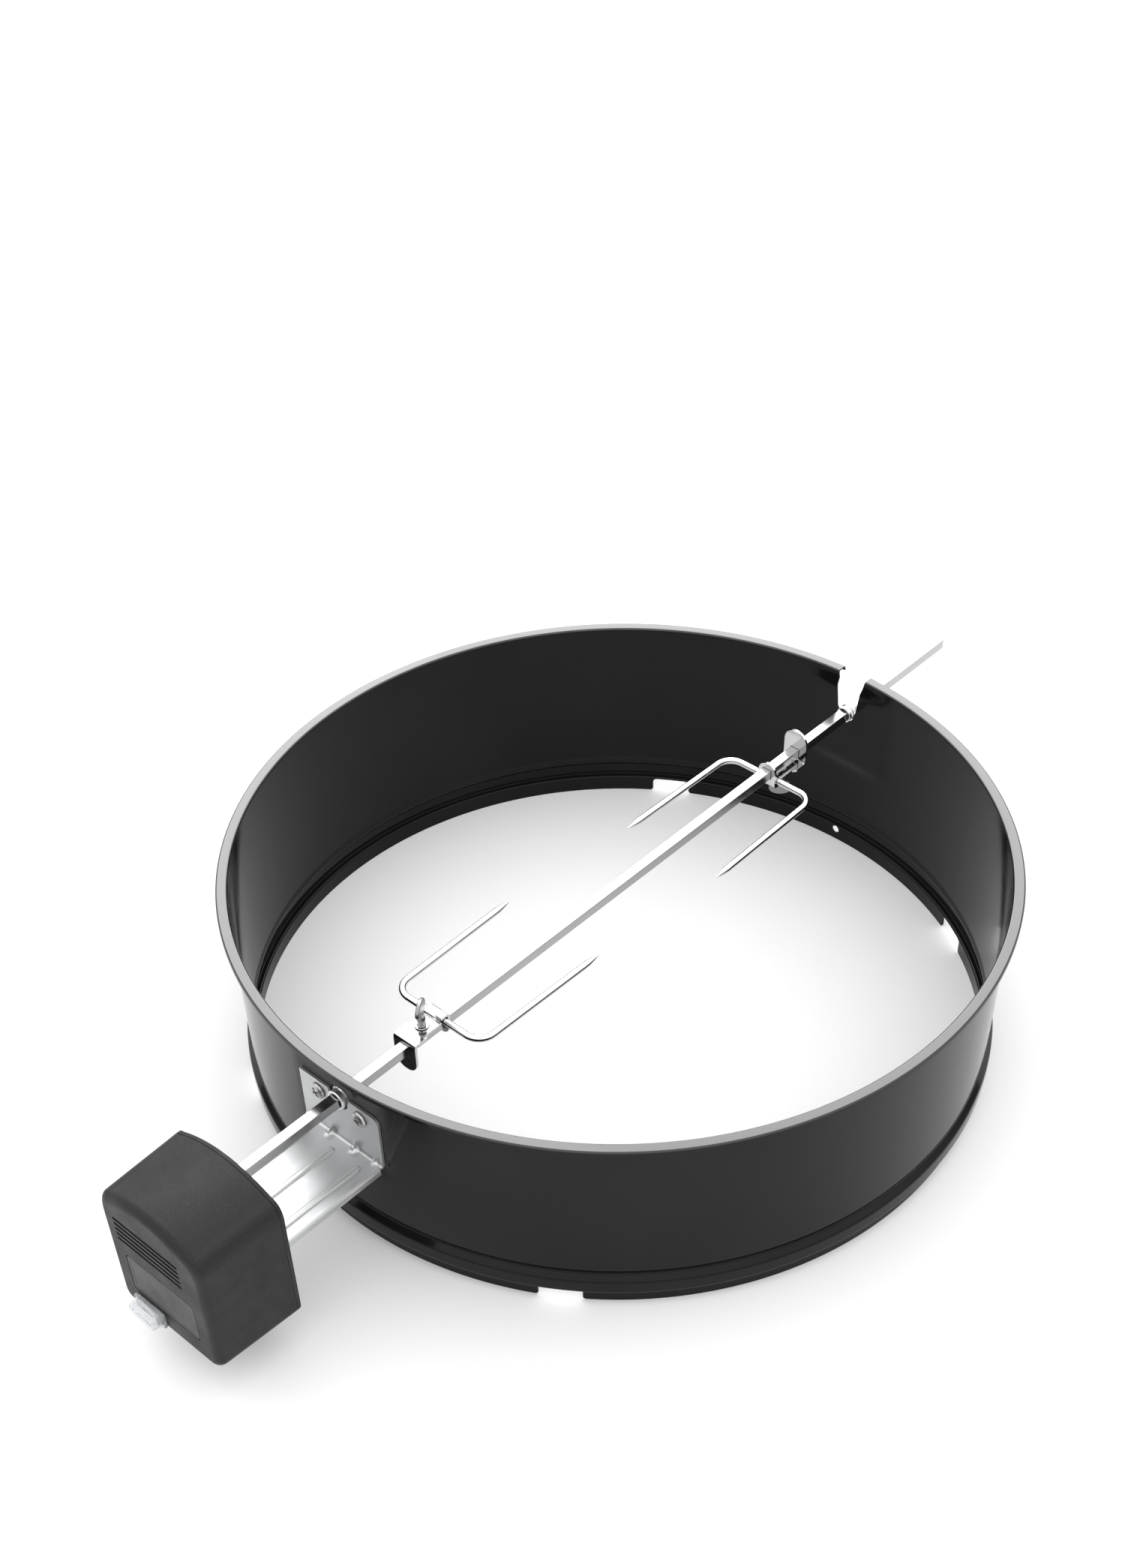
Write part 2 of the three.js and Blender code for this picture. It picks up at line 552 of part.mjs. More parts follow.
// Round collar with grooves, pressed on to the square spit, from x = -half to x = +half.
function collarGeometry(radius, half, grooves) {
  const bore = 5.8;
  const neck = radius - 0.6;
  const points = [new THREE.Vector2(bore, -half), new THREE.Vector2(radius, -half)];
  grooves.forEach(([low, high]) => {
    points.push(new THREE.Vector2(radius, low), new THREE.Vector2(neck, low));
    points.push(new THREE.Vector2(neck, high), new THREE.Vector2(radius, high));
  });
  points.push(new THREE.Vector2(radius, half), new THREE.Vector2(bore, half));
  points.push(points[0].clone());
  return new THREE.LatheGeometry(points, 20).rotateZ(-Math.PI / 2);
}

// ---------------------------------------------------------------- forks
// Fork frame: origin on the spit axis under the cross wire, +x towards the prong tips,
// +z on the side of the thumb screw.
const WIRE_RADIUS = 2.6;
const WIRE_Z = 7;
const PRONG_LENGTH = 119;
const PRONG_POINT = 12;
const PRONG_ROOT_Y = 41.5;
const PRONG_TIP_Y = 43.5;
const WIRE_BEND = 15;
const CLAMP_SHEET = 2;
const WEB_LOW = 6.3;                   // underside of the clamp's web
const HUMP_TOP = 11.9;                 // the web rises over the cross wire
const HUMP_HALF = WIRE_RADIUS + GAP + CLAMP_SHEET;
const CLAMP_REAR_X = -32;
const REAR_HALF_WIDTH = 10.5;
const REAR_LOW = -19.8;
const FRONT_HALF_WIDTH = 8;
const FRONT_LOW = -9;
const THUMB_X = -14.5;
const THUMB_HOLE = 3.4;

function forkWireGeometry() {
  const at = (x, y) => new THREE.Vector3(x, y, WIRE_Z);
  const path = new THREE.CurvePath();
  const straightEnd = PRONG_LENGTH - PRONG_POINT;
  path.add(new THREE.LineCurve3(at(straightEnd, -PRONG_TIP_Y), at(WIRE_BEND, -PRONG_ROOT_Y)));
  path.add(new THREE.QuadraticBezierCurve3(at(WIRE_BEND, -PRONG_ROOT_Y), at(0, -PRONG_ROOT_Y),
    at(0, -PRONG_ROOT_Y + WIRE_BEND)));
  path.add(new THREE.LineCurve3(at(0, -PRONG_ROOT_Y + WIRE_BEND), at(0, PRONG_ROOT_Y - WIRE_BEND)));
  path.add(new THREE.QuadraticBezierCurve3(at(0, PRONG_ROOT_Y - WIRE_BEND), at(0, PRONG_ROOT_Y),
    at(WIRE_BEND, PRONG_ROOT_Y)));
  path.add(new THREE.LineCurve3(at(WIRE_BEND, PRONG_ROOT_Y), at(straightEnd, PRONG_TIP_Y)));
  const section = new THREE.Shape();
  section.absarc(0, 0, WIRE_RADIUS, 0, 2 * Math.PI);
  const wire = new THREE.ExtrudeGeometry(section, { steps: 44, curveSegments: 5, extrudePath: path });
  const points = [-1, 1].map((side) => new THREE.CylinderGeometry(0.25, WIRE_RADIUS, PRONG_POINT + 0.4, 10)
    .rotateZ(-Math.PI / 2)
    .translate(straightEnd + PRONG_POINT / 2 - 0.2, side * PRONG_TIP_Y, WIRE_Z));
  return geometryOf(join(wire, ...points));
}

// A clamp plate across the spit: round at the free end, straight where it meets the web.
function clampPlate(halfWidth, low, high, x0) {
  const shape = new THREE.Shape();
  shape.moveTo(-halfWidth, high);
  shape.lineTo(-halfWidth, low + halfWidth);
  shape.absarc(0, low + halfWidth, halfWidth, Math.PI, 2 * Math.PI);
  shape.lineTo(halfWidth, high);
  return extrudeX(shape, x0, x0 + CLAMP_SHEET, { curveSegments: 8 });
}

function clampGeometry() {
  const rear = REAR_HALF_WIDTH;
  const front = FRONT_HALF_WIDTH;
  const webTop = WEB_LOW + CLAMP_SHEET;
  const web = new THREE.Shape();
  web.moveTo(CLAMP_REAR_X, -rear);
  web.lineTo(CLAMP_REAR_X + 8, -rear);
  web.lineTo(CLAMP_REAR_X + 12, -front);
  web.lineTo(-HUMP_HALF + CLAMP_SHEET, -front);
  web.lineTo(-HUMP_HALF + CLAMP_SHEET, front);
  web.lineTo(CLAMP_REAR_X + 12, front);
  web.lineTo(CLAMP_REAR_X + 8, rear);
  web.lineTo(CLAMP_REAR_X, rear);
  const hump = new THREE.Shape();          // seen along y
  hump.moveTo(-HUMP_HALF, WEB_LOW);
  hump.lineTo(-HUMP_HALF, HUMP_TOP - 1.6);
  hump.lineTo(-HUMP_HALF + 1.6, HUMP_TOP);
  hump.lineTo(HUMP_HALF - 1.6, HUMP_TOP);
  hump.lineTo(HUMP_HALF, HUMP_TOP - 1.6);
  hump.lineTo(HUMP_HALF, WEB_LOW);
  hump.lineTo(HUMP_HALF - CLAMP_SHEET, WEB_LOW);
  hump.lineTo(HUMP_HALF - CLAMP_SHEET, HUMP_TOP - CLAMP_SHEET);
  hump.lineTo(-HUMP_HALF + CLAMP_SHEET, HUMP_TOP - CLAMP_SHEET);
  hump.lineTo(-HUMP_HALF + CLAMP_SHEET, WEB_LOW);
  const half = SQUARE_HOLE / 2;
  const body = join(extrudeZ(web, WEB_LOW, webTop),
    extrudeY(hump, -front, front),
    clampPlate(rear, REAR_LOW, webTop, CLAMP_REAR_X),
    clampPlate(front, FRONT_LOW, WEB_LOW + 1, HUMP_HALF - CLAMP_SHEET),
    rodZ(5.2, webTop - 0.5, webTop + 1.4).translate(THUMB_X, 0, 0));
  return geometryOf(cut(body, box(CLAMP_REAR_X - 5, HUMP_HALF + 5, -half, half, -half, half),
    rodZ(THUMB_HOLE, WEB_LOW - 5, webTop + 6).translate(THUMB_X, 0, 0)));
}

// Thumb screw: threaded shank with a flat oval head, along +z from just above the spit.
function thumbScrewGeometry() {
  const head = new THREE.Shape();
  head.absellipse(0, 24.5, 9.2, 6.4, 0, 2 * Math.PI);
  const neck = new THREE.Shape();
  neck.moveTo(-3, 15);
  neck.lineTo(3, 15);
  neck.quadraticCurveTo(3.4, 19, 6, 21);
  neck.lineTo(-6, 21);
  neck.quadraticCurveTo(-3.4, 19, -3, 15);
  return geometryOf(join(rodZ(3, SPIT_SIDE / 2 + GAP, 17, 16),
    extrudeY(head, -1.5, 1.5, { curveSegments: 12 }),
    extrudeY(neck, -1.5, 1.5, { curveSegments: 3 })));
}

// ---------------------------------------------------------------- assembly
function part(name, geometry, material, x = 0, y = 0, z = 0) {
  const mesh = new THREE.Mesh(geometry, material);
  mesh.name = name;
  mesh.position.set(x, y, z);
  return mesh;
}

function ringAssembly() {
  const group = new THREE.Group();
  group.add(part("ring_shell", ringGeometry(), enamel()));
  group.add(part("motor_bracket", bracketGeometry(), plate()));
  const reach = 14;
  [["left", 1], ["right", -1]].forEach(([side, sign]) => {
    const y = sign * BRACKET_SCREW_Y;
    group.add(part(`bracket_screw_${side}`, panScrew(6.2, 3, 2.5, reach), plate(),
      BRACKET_OUTER_X - GAP, y, BRACKET_SCREW_Z));
    group.add(part(`bracket_nut_${side}`, hexNut(5, SCREW_HOLE_RADIUS, 4), plate(),
      -(PAD_X - SHEET / 2 - GAP), y, BRACKET_SCREW_Z));
  });
  return group;
}

function motorAssembly() {
  const group = new THREE.Group();
  group.add(part("motor_housing", housingGeometry(), blackPlastic()));
  group.add(part("motor_cover", coverGeometry(), blackPlastic()));
  COVER_SCREWS.forEach(([y, z], i) => {
    const screw = panScrew(3.2, 2, COVER_SCREW_HOLE - GAP, 6).rotateZ(Math.PI);
    group.add(part(`cover_screw_${i + 1}`, screw, iron(), MOTOR_FACE_X + GAP, y, z));
  });
  const label = extrudeX(roundedRectangle(-LABEL_HALF_WIDTH, LABEL_HALF_WIDTH, LABEL_LOW, LABEL_HIGH, 3),
    MOTOR_END_X + 0.1, MOTOR_END_X + 0.7);
  group.add(part("rating_plate", label, labelPlastic()));
  group.add(part("switch_bezel", bezelGeometry(), clearPlastic()));
  group.add(part("switch_rocker", rockerGeometry(), switchPlastic(), MOTOR_END_X, SWITCH_Y, SWITCH_Z));
  group.add(part("switch_boot", bootGeometry(), clearPlastic()));
  group.add(part("gear_plate", gearPlateGeometry(), plate()));
  group.add(part("motor_stator", statorGeometry(), iron()));
  group.add(part("drive_socket", driveGeometry(), brass(), 0, 0, AXIS_Z));
  group.add(part("idler_gear", idlerGeometry(), gearPlastic(), 0, 0, IDLER_Z));
  group.add(part("motor_rotor", rotorGeometry(), iron(), 0, 0, ROTOR_Z));
  return group;
}

function forkAssembly(name, thumbTurn) {
  const group = new THREE.Group();
  group.add(part(`${name}_clamp`, clampGeometry(), chrome()));
  group.add(part(`${name}_wire`, forkWireGeometry(), chrome()));
  const screw = part(`${name}_thumb_screw`, thumbScrewGeometry(), chrome(), THUMB_X, 0, 0);
  screw.rotation.z = THREE.MathUtils.degToRad(thumbTurn);
  group.add(screw);
  return group;
}

function spitAssembly() {
  const group = new THREE.Group();
  group.position.z = AXIS_Z;
  group.add(part("spit_rod", spitGeometry(), chrome()));
  group.add(part("collar_motor_side", collarGeometry(COLLAR_RADIUS, 8.5, [[-4.4, -2.8], [2.2, 3.8]]), chrome(),
    -PAD_X + 3));
  group.add(part("collar_free_side", collarGeometry(FAR_COLLAR_RADIUS, 4, [[-1.3, 1.3]]), chrome(), PAD_X));
  const near = forkAssembly("fork_motor_side", 31);
  near.position.x = FORK_NEAR_X;
  const far = forkAssembly("fork_free_side", 49);
  far.position.x = FORK_FAR_X;
  far.rotation.y = Math.PI;
  group.add(near, far);
  return group;
}

const LENGTH_MIDDLE = (BOOT_END_X + SPIT_END + SPIT_BEVEL) / 2;

// The whole is moved along x so that the origin lies under the middle of its overall length.
const attachment = new THREE.Group();
attachment.name = "spit_roasting_attachment";
attachment.position.x = -LENGTH_MIDDLE;
attachment.add(ringAssembly(), motorAssembly(), spitAssembly());

export default attachment;
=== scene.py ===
"""Looks of a spit-roasting attachment for a kettle grill: pieces, materials, light and camera.

The row frame is in metres, +Z up, X along the spit from the motor unit to the free end. Shapes are
drawn in millimetres with X = 0 at the centre of the ring, and add_piece turns them into the row frame.
"""
import math

import bmesh
import bpy
from mathutils import Matrix, Vector, noise


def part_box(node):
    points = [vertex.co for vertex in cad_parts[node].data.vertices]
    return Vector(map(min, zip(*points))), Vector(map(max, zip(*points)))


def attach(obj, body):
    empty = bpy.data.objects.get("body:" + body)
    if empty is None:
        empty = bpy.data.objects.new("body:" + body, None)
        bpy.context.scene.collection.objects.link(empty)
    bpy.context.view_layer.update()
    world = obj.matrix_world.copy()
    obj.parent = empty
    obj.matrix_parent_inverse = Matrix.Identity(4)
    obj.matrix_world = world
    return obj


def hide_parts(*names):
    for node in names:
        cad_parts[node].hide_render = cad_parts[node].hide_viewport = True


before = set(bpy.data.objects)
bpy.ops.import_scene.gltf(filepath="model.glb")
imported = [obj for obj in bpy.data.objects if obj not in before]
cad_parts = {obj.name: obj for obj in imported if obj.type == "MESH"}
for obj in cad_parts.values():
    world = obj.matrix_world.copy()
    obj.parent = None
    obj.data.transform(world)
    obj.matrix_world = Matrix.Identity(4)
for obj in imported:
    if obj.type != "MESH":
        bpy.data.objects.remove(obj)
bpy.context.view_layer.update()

# ---------------------------------------------------------------- sizes, in millimetres
MM = 0.001
GAP = 0.3                  # room between pieces that touch
SHEET = 1.2                # enamelled sheet of the ring
PLATE = 2.0                # sheet of the bracket and of the fork clamps
COVER_THICKNESS = 3.0      # front plate of the motor unit
WIRE_RADIUS = 2.6          # bent wire of the forks
BRACKET_HEAD_HEIGHT = 3.0  # heads of the two screws that hold the bracket


def span(node, axis):
    """Lowest and highest coordinate of a CAD node along one axis of the row frame, in millimetres."""
    low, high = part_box(node)
    return low[axis] / MM, high[axis] / MM


RING_LOW_Y, RING_HIGH_Y = span("ring_shell", 1)
RIM_RADIUS = (RING_HIGH_Y - RING_LOW_Y) / 2
RING_X = span("ring_shell", 0)[0] + RIM_RADIUS
RING_HEIGHT = span("ring_shell", 2)[1]


def along(node):
    """Lowest and highest x of a CAD node, counted from the centre of the ring."""
    low, high = span(node, 0)
    return low - RING_X, high - RING_X


def middle(node, axis):
    low, high = span(node, axis)
    return (low + high) / 2


def extent(node, axis):
    low, high = span(node, axis)
    return high - low


AXIS_Z = middle("spit_rod", 2)
SPIT_START, SPIT_END = along("spit_rod")
SPIT_SIDE = extent("spit_rod", 2)
MOTOR_END_X, HOUSING_START_X = along("motor_housing")
MOTOR_FACE_X = along("motor_cover")[1]
NEAR_FORK_X = along("fork_motor_side_wire")[0] + WIRE_RADIUS
FAR_FORK_X = along("fork_free_side_wire")[1] - WIRE_RADIUS
PRONG_LENGTH = extent("fork_motor_side_wire", 0) - WIRE_RADIUS
PLATE_OUTER_X = along("bracket_screw_left")[0] + BRACKET_HEAD_HEIGHT + GAP
PAD_X = SHEET / 2 + GAP - along("bracket_nut_left")[0]
SCREW_Y = 20.2             # the bracket's two screws, left and right of the spit
SCREW_Z = middle("bracket_nut_left", 2)
SCREW_HOLE_RADIUS = 2.8
TRAY_END_X = along("motor_bracket")[0]
TRAY_TOP = 88.0
BRACKET_HALF = 38.0
SWITCH_Y = middle("switch_bezel", 1)
SWITCH_Z = middle("switch_bezel", 2)


# ---------------------------------------------------------------- materials
class Nodes:
    """A small helper for building a material's node tree."""

    def __init__(self, name):
        self.material = bpy.data.materials.new(name)
        self.material.use_nodes = True
        self.tree = self.material.node_tree
        self.shader = self.tree.nodes["Principled BSDF"]
        self.place = self.add("ShaderNodeTexCoord").outputs["Object"]

    def add(self, kind, **values):
        node = self.tree.nodes.new(kind)
        for key, value in values.items():
            setattr(node, key, value)
        return node

    def link(self, source, target):
        self.tree.links.new(source, target)

    def noise(self, scale, detail=3.0, stretch=(1, 1, 1)):
        mapping = self.add("ShaderNodeMapping")
        mapping.inputs["Scale"].default_value = stretch
        self.link(self.place, mapping.inputs["Vector"])
        texture = self.add("ShaderNodeTexNoise")
        texture.inputs["Scale"].default_value = scale
        texture.inputs["Detail"].default_value = detail
        self.link(mapping.outputs["Vector"], texture.inputs["Vector"])
        return texture.outputs["Fac"]

    def ramp(self, value, low, high, start=0.3, end=0.7):
        """value between start and end becomes a number between low and high."""
        node = self.add("ShaderNodeMapRange")
        node.inputs["From Min"].default_value = start
        node.inputs["From Max"].default_value = end
        node.inputs["To Min"].default_value = low
        node.inputs["To Max"].default_value = high
        self.link(value, node.inputs["Value"])
        return node.outputs["Result"]

    def mix_colour(self, factor, first, second):
        node = self.add("ShaderNodeMix", data_type="RGBA")
        node.inputs[6].default_value = (*first, 1)
        node.inputs[7].default_value = (*second, 1)
        self.link(factor, node.inputs[0])
        return node.outputs[2]

    def painted_edge_highlight(self, colour, highlight_colour, share=0.5):
        """Turns the colour towards the given paler colour along sharp outer edges: a painted edge highlight.
        """
        geometry = self.add("ShaderNodeNewGeometry")
        edge = self.ramp(geometry.outputs["Pointiness"], 0, share, 0.54, 0.66)
        node = self.add("ShaderNodeMix", data_type="RGBA")
        node.inputs[7].default_value = (*highlight_colour, 1)
        self.link(edge, node.inputs[0])
        self.link(colour, node.inputs[6])
        return node.outputs[2]

    def bump(self, height, distance, strength):
        node = self.add("ShaderNodeBump")
        node.inputs["Distance"].default_value = distance
        node.inputs["Strength"].default_value = strength
        self.link(height, node.inputs["Height"])
        return node.outputs["Normal"]

    def set(self, **values):
        """Sets sockets of the shader that are named with underscores for spaces."""
        for key, value in values.items():
            self.shader.inputs[key.replace("_", " ")].default_value = value

    def surface(self, colour, roughness, normal=None):
        """Links the shader's sources and gives the finished material."""
        for socket, source in (("Base Color", colour), ("Roughness", roughness), ("Normal", normal)):
            if source is not None:
                self.link(source, self.shader.inputs[socket])
        return self.material


def enamel_material(name, reflective_index, coat):
    m = Nodes(name)
    cloud = m.noise(9.0, 2.0)
    colour = m.mix_colour(m.ramp(cloud, 0, 1), (0.0045, 0.0045, 0.005), (0.0075, 0.0075, 0.0083))
    roughness = m.ramp(m.noise(30.0, 4.0), 0.07, 0.13)
    peel = m.bump(m.noise(320.0, 1.5), 0.00002, 0.5)
    m.set(IOR=reflective_index, Coat_Weight=coat, Coat_Roughness=0.04)
    return m.surface(colour, roughness, peel)


def stainless_material():
    m = Nodes("satin_stainless")
    brush = m.noise(1.0, 4.0, stretch=(40, 2600, 2600))
    cloud = m.noise(22.0, 2.0)
    colour = m.mix_colour(m.ramp(cloud, 0, 1), (0.46, 0.465, 0.47), (0.57, 0.575, 0.58))
    # painted highlight: the sheet's sharp edges are made paler
    colour = m.painted_edge_highlight(colour, (0.7, 0.7, 0.7))
    roughness = m.ramp(brush, 0.34, 0.48)
    m.set(Metallic=1.0)
    return m.surface(colour, roughness, m.bump(brush, 0.00001, 0.6))


def chrome_material(name, tone, rough):
    m = Nodes(name)
    cloud = m.noise(60.0, 3.0)
    shade = m.ramp(cloud, 0, 1)
    colour = m.mix_colour(shade, (tone * 0.93, tone * 0.935, tone * 0.94), (tone, tone, tone * 1.01))
    scratch = m.noise(1.0, 2.0, stretch=(60, 3000, 3000))
    m.set(Metallic=1.0)
    return m.surface(colour, m.ramp(cloud, *rough), m.bump(scratch, 0.000006, 0.5))


def fastener_material():
    m = Nodes("zinc_fastener")
    cloud = m.noise(500.0, 3.0)
    colour = m.mix_colour(m.ramp(cloud, 0, 1), (0.34, 0.34, 0.34), (0.5, 0.5, 0.49))
    m.set(Metallic=1.0)
    return m.surface(colour, m.ramp(m.noise(300.0), 0.22, 0.38), m.bump(cloud, 0.00001, 0.5))


def grained_plastic(name, dark, light, grain):
    m = Nodes(name)
    speckle = m.noise(1900.0, 2.0)
    colour = m.mix_colour(m.ramp(speckle, 0, 1, 0.35, 0.65), dark, light)
    # painted highlight: the plastic's sharp edges are made paler
    colour = m.painted_edge_highlight(colour, (0.05, 0.05, 0.05))
    leather = m.bump(speckle, grain, 0.85)
    m.set(IOR=1.3)
    return m.surface(colour, m.ramp(m.noise(60.0), 0.42, 0.55), leather)


def clear_material():
    m = Nodes("clear_soft_plastic")
    cloud = m.noise(260.0, 2.0)
    colour = m.mix_colour(m.ramp(cloud, 0, 1), (0.86, 0.88, 0.9), (0.95, 0.96, 0.97))
    m.set(Transmission_Weight=0.94, IOR=1.45)
    return m.surface(colour, m.ramp(cloud, 0.06, 0.16), m.bump(m.noise(180.0, 1.0), 0.0003, 0.5))


def bezel_material():
    m = Nodes("frosted_clear_plastic")
    cloud = m.noise(400.0, 2.0)
    colour = m.mix_colour(m.ramp(cloud, 0, 1), (0.55, 0.56, 0.57), (0.72, 0.73, 0.74))
    m.set(Transmission_Weight=0.75, IOR=1.5)
    return m.surface(colour, m.ramp(cloud, 0.06, 0.14), m.bump(cloud, 0.00003, 0.5))


def gloss_plastic(name, dark, light):
    m = Nodes(name)
    cloud = m.noise(140.0, 2.0)
    colour = m.mix_colour(m.ramp(cloud, 0, 1), dark, light)
    return m.surface(colour, m.ramp(cloud, 0.22, 0.34), m.bump(m.noise(900.0, 1.0), 0.00002, 0.4))


def metal_material(name, dark, light, rough):
    m = Nodes(name)
    cloud = m.noise(240.0, 3.0)
    colour = m.mix_colour(m.ramp(cloud, 0, 1), dark, light)
    m.set(Metallic=1.0)
    return m.surface(colour, m.ramp(cloud, *rough), m.bump(m.noise(1200.0), 0.00001, 0.5))


def floor_material():
    m = Nodes("pale_floor")
    cloud = m.noise(2.0, 2.0)
    colour = m.mix_colour(m.ramp(cloud, 0, 1), (0.86, 0.86, 0.86), (0.88, 0.88, 0.88))
    m.set(Specular_IOR_Level=0.1)
    return m.surface(colour, m.ramp(cloud, 0.85, 0.95))


# ---------------------------------------------------------------- shape helpers
# A shape is drawn flat and raised along z. X_IS_UP turns a drawing of (y, z) points to be raised along x,
# and Y_IS_DOWN turns a drawing of (x, z) points to be raised along -y.
X_IS_UP = Matrix(((0, 0, 1, 0), (1, 0, 0, 0), (0, 1, 0, 0), (0, 0, 0, 1)))
Y_IS_DOWN = Matrix(((1, 0, 0, 0), (0, 0, -1, 0), (0, 1, 0, 0), (0, 0, 0, 1)))


def arc(cx, cy, radius, start, end, steps):
    """Points on a circle, angles in degrees."""
    angles = [math.radians(start + (end - start) * i / steps) for i in range(steps + 1)]
    return [(cx + radius * math.cos(a), cy + radius * math.sin(a)) for a in angles]


def circle(cx, cy, radius, sides):
    return arc(cx, cy, radius, 0, 360 - 360 / sides, sides - 1)


def mirrored(half):
    """The other half of an outline whose first half is on the side of positive x."""
    return [(-x, y) for x, y in half[::-1]]


def rounded_rectangle(x0, x1, y0, y1, radius, steps=5):
    return (arc(x1 - radius, y0 + radius, radius, -90, 0, steps)
            + arc(x1 - radius, y1 - radius, radius, 0, 90, steps)
            + arc(x0 + radius, y1 - radius, radius, 90, 180, steps)
            + arc(x0 + radius, y0 + radius, radius, 180, 270, steps))


def bezier(a, b, c, steps):
    """Points on a quadratic curve, without its last point."""
    points = []
    for i in range(steps):
        t = i / steps
        points.append(tuple((1 - t) ** 2 * a[k] + 2 * t * (1 - t) * b[k] + t * t * c[k] for k in (0, 1)))
    return points


def rounded_path(corners, steps=5):
    """A path through (x, y, radius) corners, each rounded by its radius."""
    points = [Vector(corners[0][:2])]
    for before, corner, after in zip(corners, corners[1:], corners[2:]):
        here = Vector(corner[:2])
        back = Vector(before[:2]) - here
        ahead = Vector(after[:2]) - here
        half = back.angle(ahead) / 2
        radius = corner[2]
        if radius == 0 or abs(half - math.pi / 2) < 1e-3:
            points.append(here)
            continue
        reach = radius / math.tan(half)
        start = here + back.normalized() * reach
        end = here + ahead.normalized() * reach
        centre = here + (back.normalized() + ahead.normalized()).normalized() * radius / math.sin(half)
        turn = (start - centre).angle_signed(end - centre)
        for i in range(steps + 1):
            spoke = (start - centre).copy()
            spoke.rotate(Matrix.Rotation(-turn * i / steps, 2))
            points.append(centre + spoke)
    points.append(Vector(corners[-1][:2]))
    return points


def divide(path, longest):
    """The same path with points added so that no step is longer than longest."""
    points = [path[0]]
    for a, b in zip(path, path[1:]):
        count = max(1, math.ceil((b - a).length / longest))
        points.extend(a.lerp(b, i / count) for i in range(1, count + 1))
    return points


def distances(path):
    """How far along the path each of its points lies."""
    result = [0.0]
    for a, b in zip(path, path[1:]):
        result.append(result[-1] + (b - a).length)
    return result


def normals(path):
    """The unit normal to the left of a path at each of its points."""
    result = []
    for i in range(len(path)):
        way = path[min(i + 1, len(path) - 1)] - path[max(i - 1, 0)]
        result.append(Vector((-way.y, way.x)).normalized())
    return result


def new_object(name, mesh):
    obj = bpy.data.objects.new(name, mesh)
    bpy.context.scene.collection.objects.link(obj)
    return obj


def from_bmesh(bm):
    """An object from a bmesh, with its double points merged and its faces turned outward."""
    bmesh.ops.remove_doubles(bm, verts=bm.verts, dist=1e-4)
    bmesh.ops.recalc_face_normals(bm, faces=bm.faces)
    mesh = bpy.data.meshes.new("piece")
    bm.to_mesh(mesh)
    bm.free()
    return new_object("piece", mesh)


def to_bmesh(obj):
    """Takes an object's mesh as a bmesh, and removes the object."""
    bm = bmesh.new()
    bm.from_mesh(obj.data)
    bpy.data.objects.remove(obj)
    return bm


def settle(obj):
    """Applies the object's modifiers, or turns a curve into a mesh."""
    bpy.context.view_layer.update()
    seen = obj.evaluated_get(bpy.context.evaluated_depsgraph_get())
    mesh = bpy.data.meshes.new_from_object(seen)
    result = new_object(obj.name, mesh)
    bpy.data.objects.remove(obj)
    return result


def moved(obj, matrix):
    obj.data.transform(matrix)
    return obj


def shift(x, y, z):
    return Matrix.Translation((x, y, z))


def slab(outlines, depth, edge=0.0, steps=3):
    """A flat plate from z = 0 to depth with rounded edges. Outlines inside the first one are holes."""
    curve = bpy.data.curves.new("slab", "CURVE")
    curve.dimensions = "2D"
    curve.fill_mode = "BOTH"
    curve.extrude = depth / 2 - edge
    curve.bevel_depth = edge
    curve.bevel_resolution = steps - 1
    curve.offset = -edge
    for outline in outlines:
        spline = curve.splines.new("POLY")
        spline.points.add(len(outline) - 1)
        for point, (x, y) in zip(spline.points, outline):
            point.co = (x, y, 0, 1)
        spline.use_cyclic_u = True
    plate = from_bmesh(to_bmesh(settle(new_object("slab", curve))))
    return moved(plate, shift(0, 0, depth / 2))


def upright(outlines, x, depth, *edge):
    """A slab of (y, z) outlines that reaches from x to x + depth."""
    return moved(moved(slab(outlines, depth, *edge), X_IS_UP), shift(x, 0, 0))


def block(x0, x1, y0, y1, z0, z1):
    bm = bmesh.new()
    size = Matrix.Diagonal((x1 - x0, y1 - y0, z1 - z0, 1))
    bmesh.ops.create_cube(bm, size=1, matrix=shift((x0 + x1) / 2, (y0 + y1) / 2, (z0 + z1) / 2) @ size)
    return from_bmesh(bm)


def rod_x(radius, x0, x1, y, z, sides=48):
    bm = bmesh.new()
    place = shift((x0 + x1) / 2, y, z) @ Matrix.Rotation(math.pi / 2, 4, "Y")
    bmesh.ops.create_cone(bm, cap_ends=True, segments=sides, radius1=radius, radius2=radius,
                          depth=x1 - x0, matrix=place)
    return from_bmesh(bm)


def skin(bm, rows):
    """Faces between neighbouring rows of equally many vertices."""
    for low, high in zip(rows, rows[1:]):
        for i in range(len(low) - 1):
            bm.faces.new((low[i], low[i + 1], high[i + 1], high[i]))


def loft(rings, closed=True):
    """Skin over rings of equally many points. It joins the last ring to the first, or else caps both."""
    bm = bmesh.new()
    rows = [[bm.verts.new(point) for point in ring] for ring in rings]
    pairs = list(zip(rows, rows[1:])) + ([(rows[-1], rows[0])] if closed else [])
    for low, high in pairs:
        for i in range(len(low)):
            k = (i + 1) % len(low)
            bm.faces.new((low[i], low[k], high[k], high[i]))
    if not closed:
        bm.faces.new(rows[0])
        bm.faces.new(rows[-1])
    return from_bmesh(bm)


def turned(profile, sides=64):
    """A solid of revolution about z. The profile is a list of (radius, z), and closes on itself."""
    rings = []
    for i in range(sides):
        angle = 2 * math.pi * i / sides
        rings.append([(r * math.cos(angle), r * math.sin(angle), z) for r, z in profile])
    return loft(rings)


def combine(obj, others, operation):
    for other in others:
        step = obj.modifiers.new(operation, "BOOLEAN")
        step.operation = operation
        step.solver = "EXACT"
        step.object = other
    obj = settle(obj)
    for other in others:
        bpy.data.objects.remove(other)
    return obj


def cut(obj, *tools):
    return combine(obj, tools, "DIFFERENCE")


def weld(obj, *others):
    return combine(obj, others, "UNION")


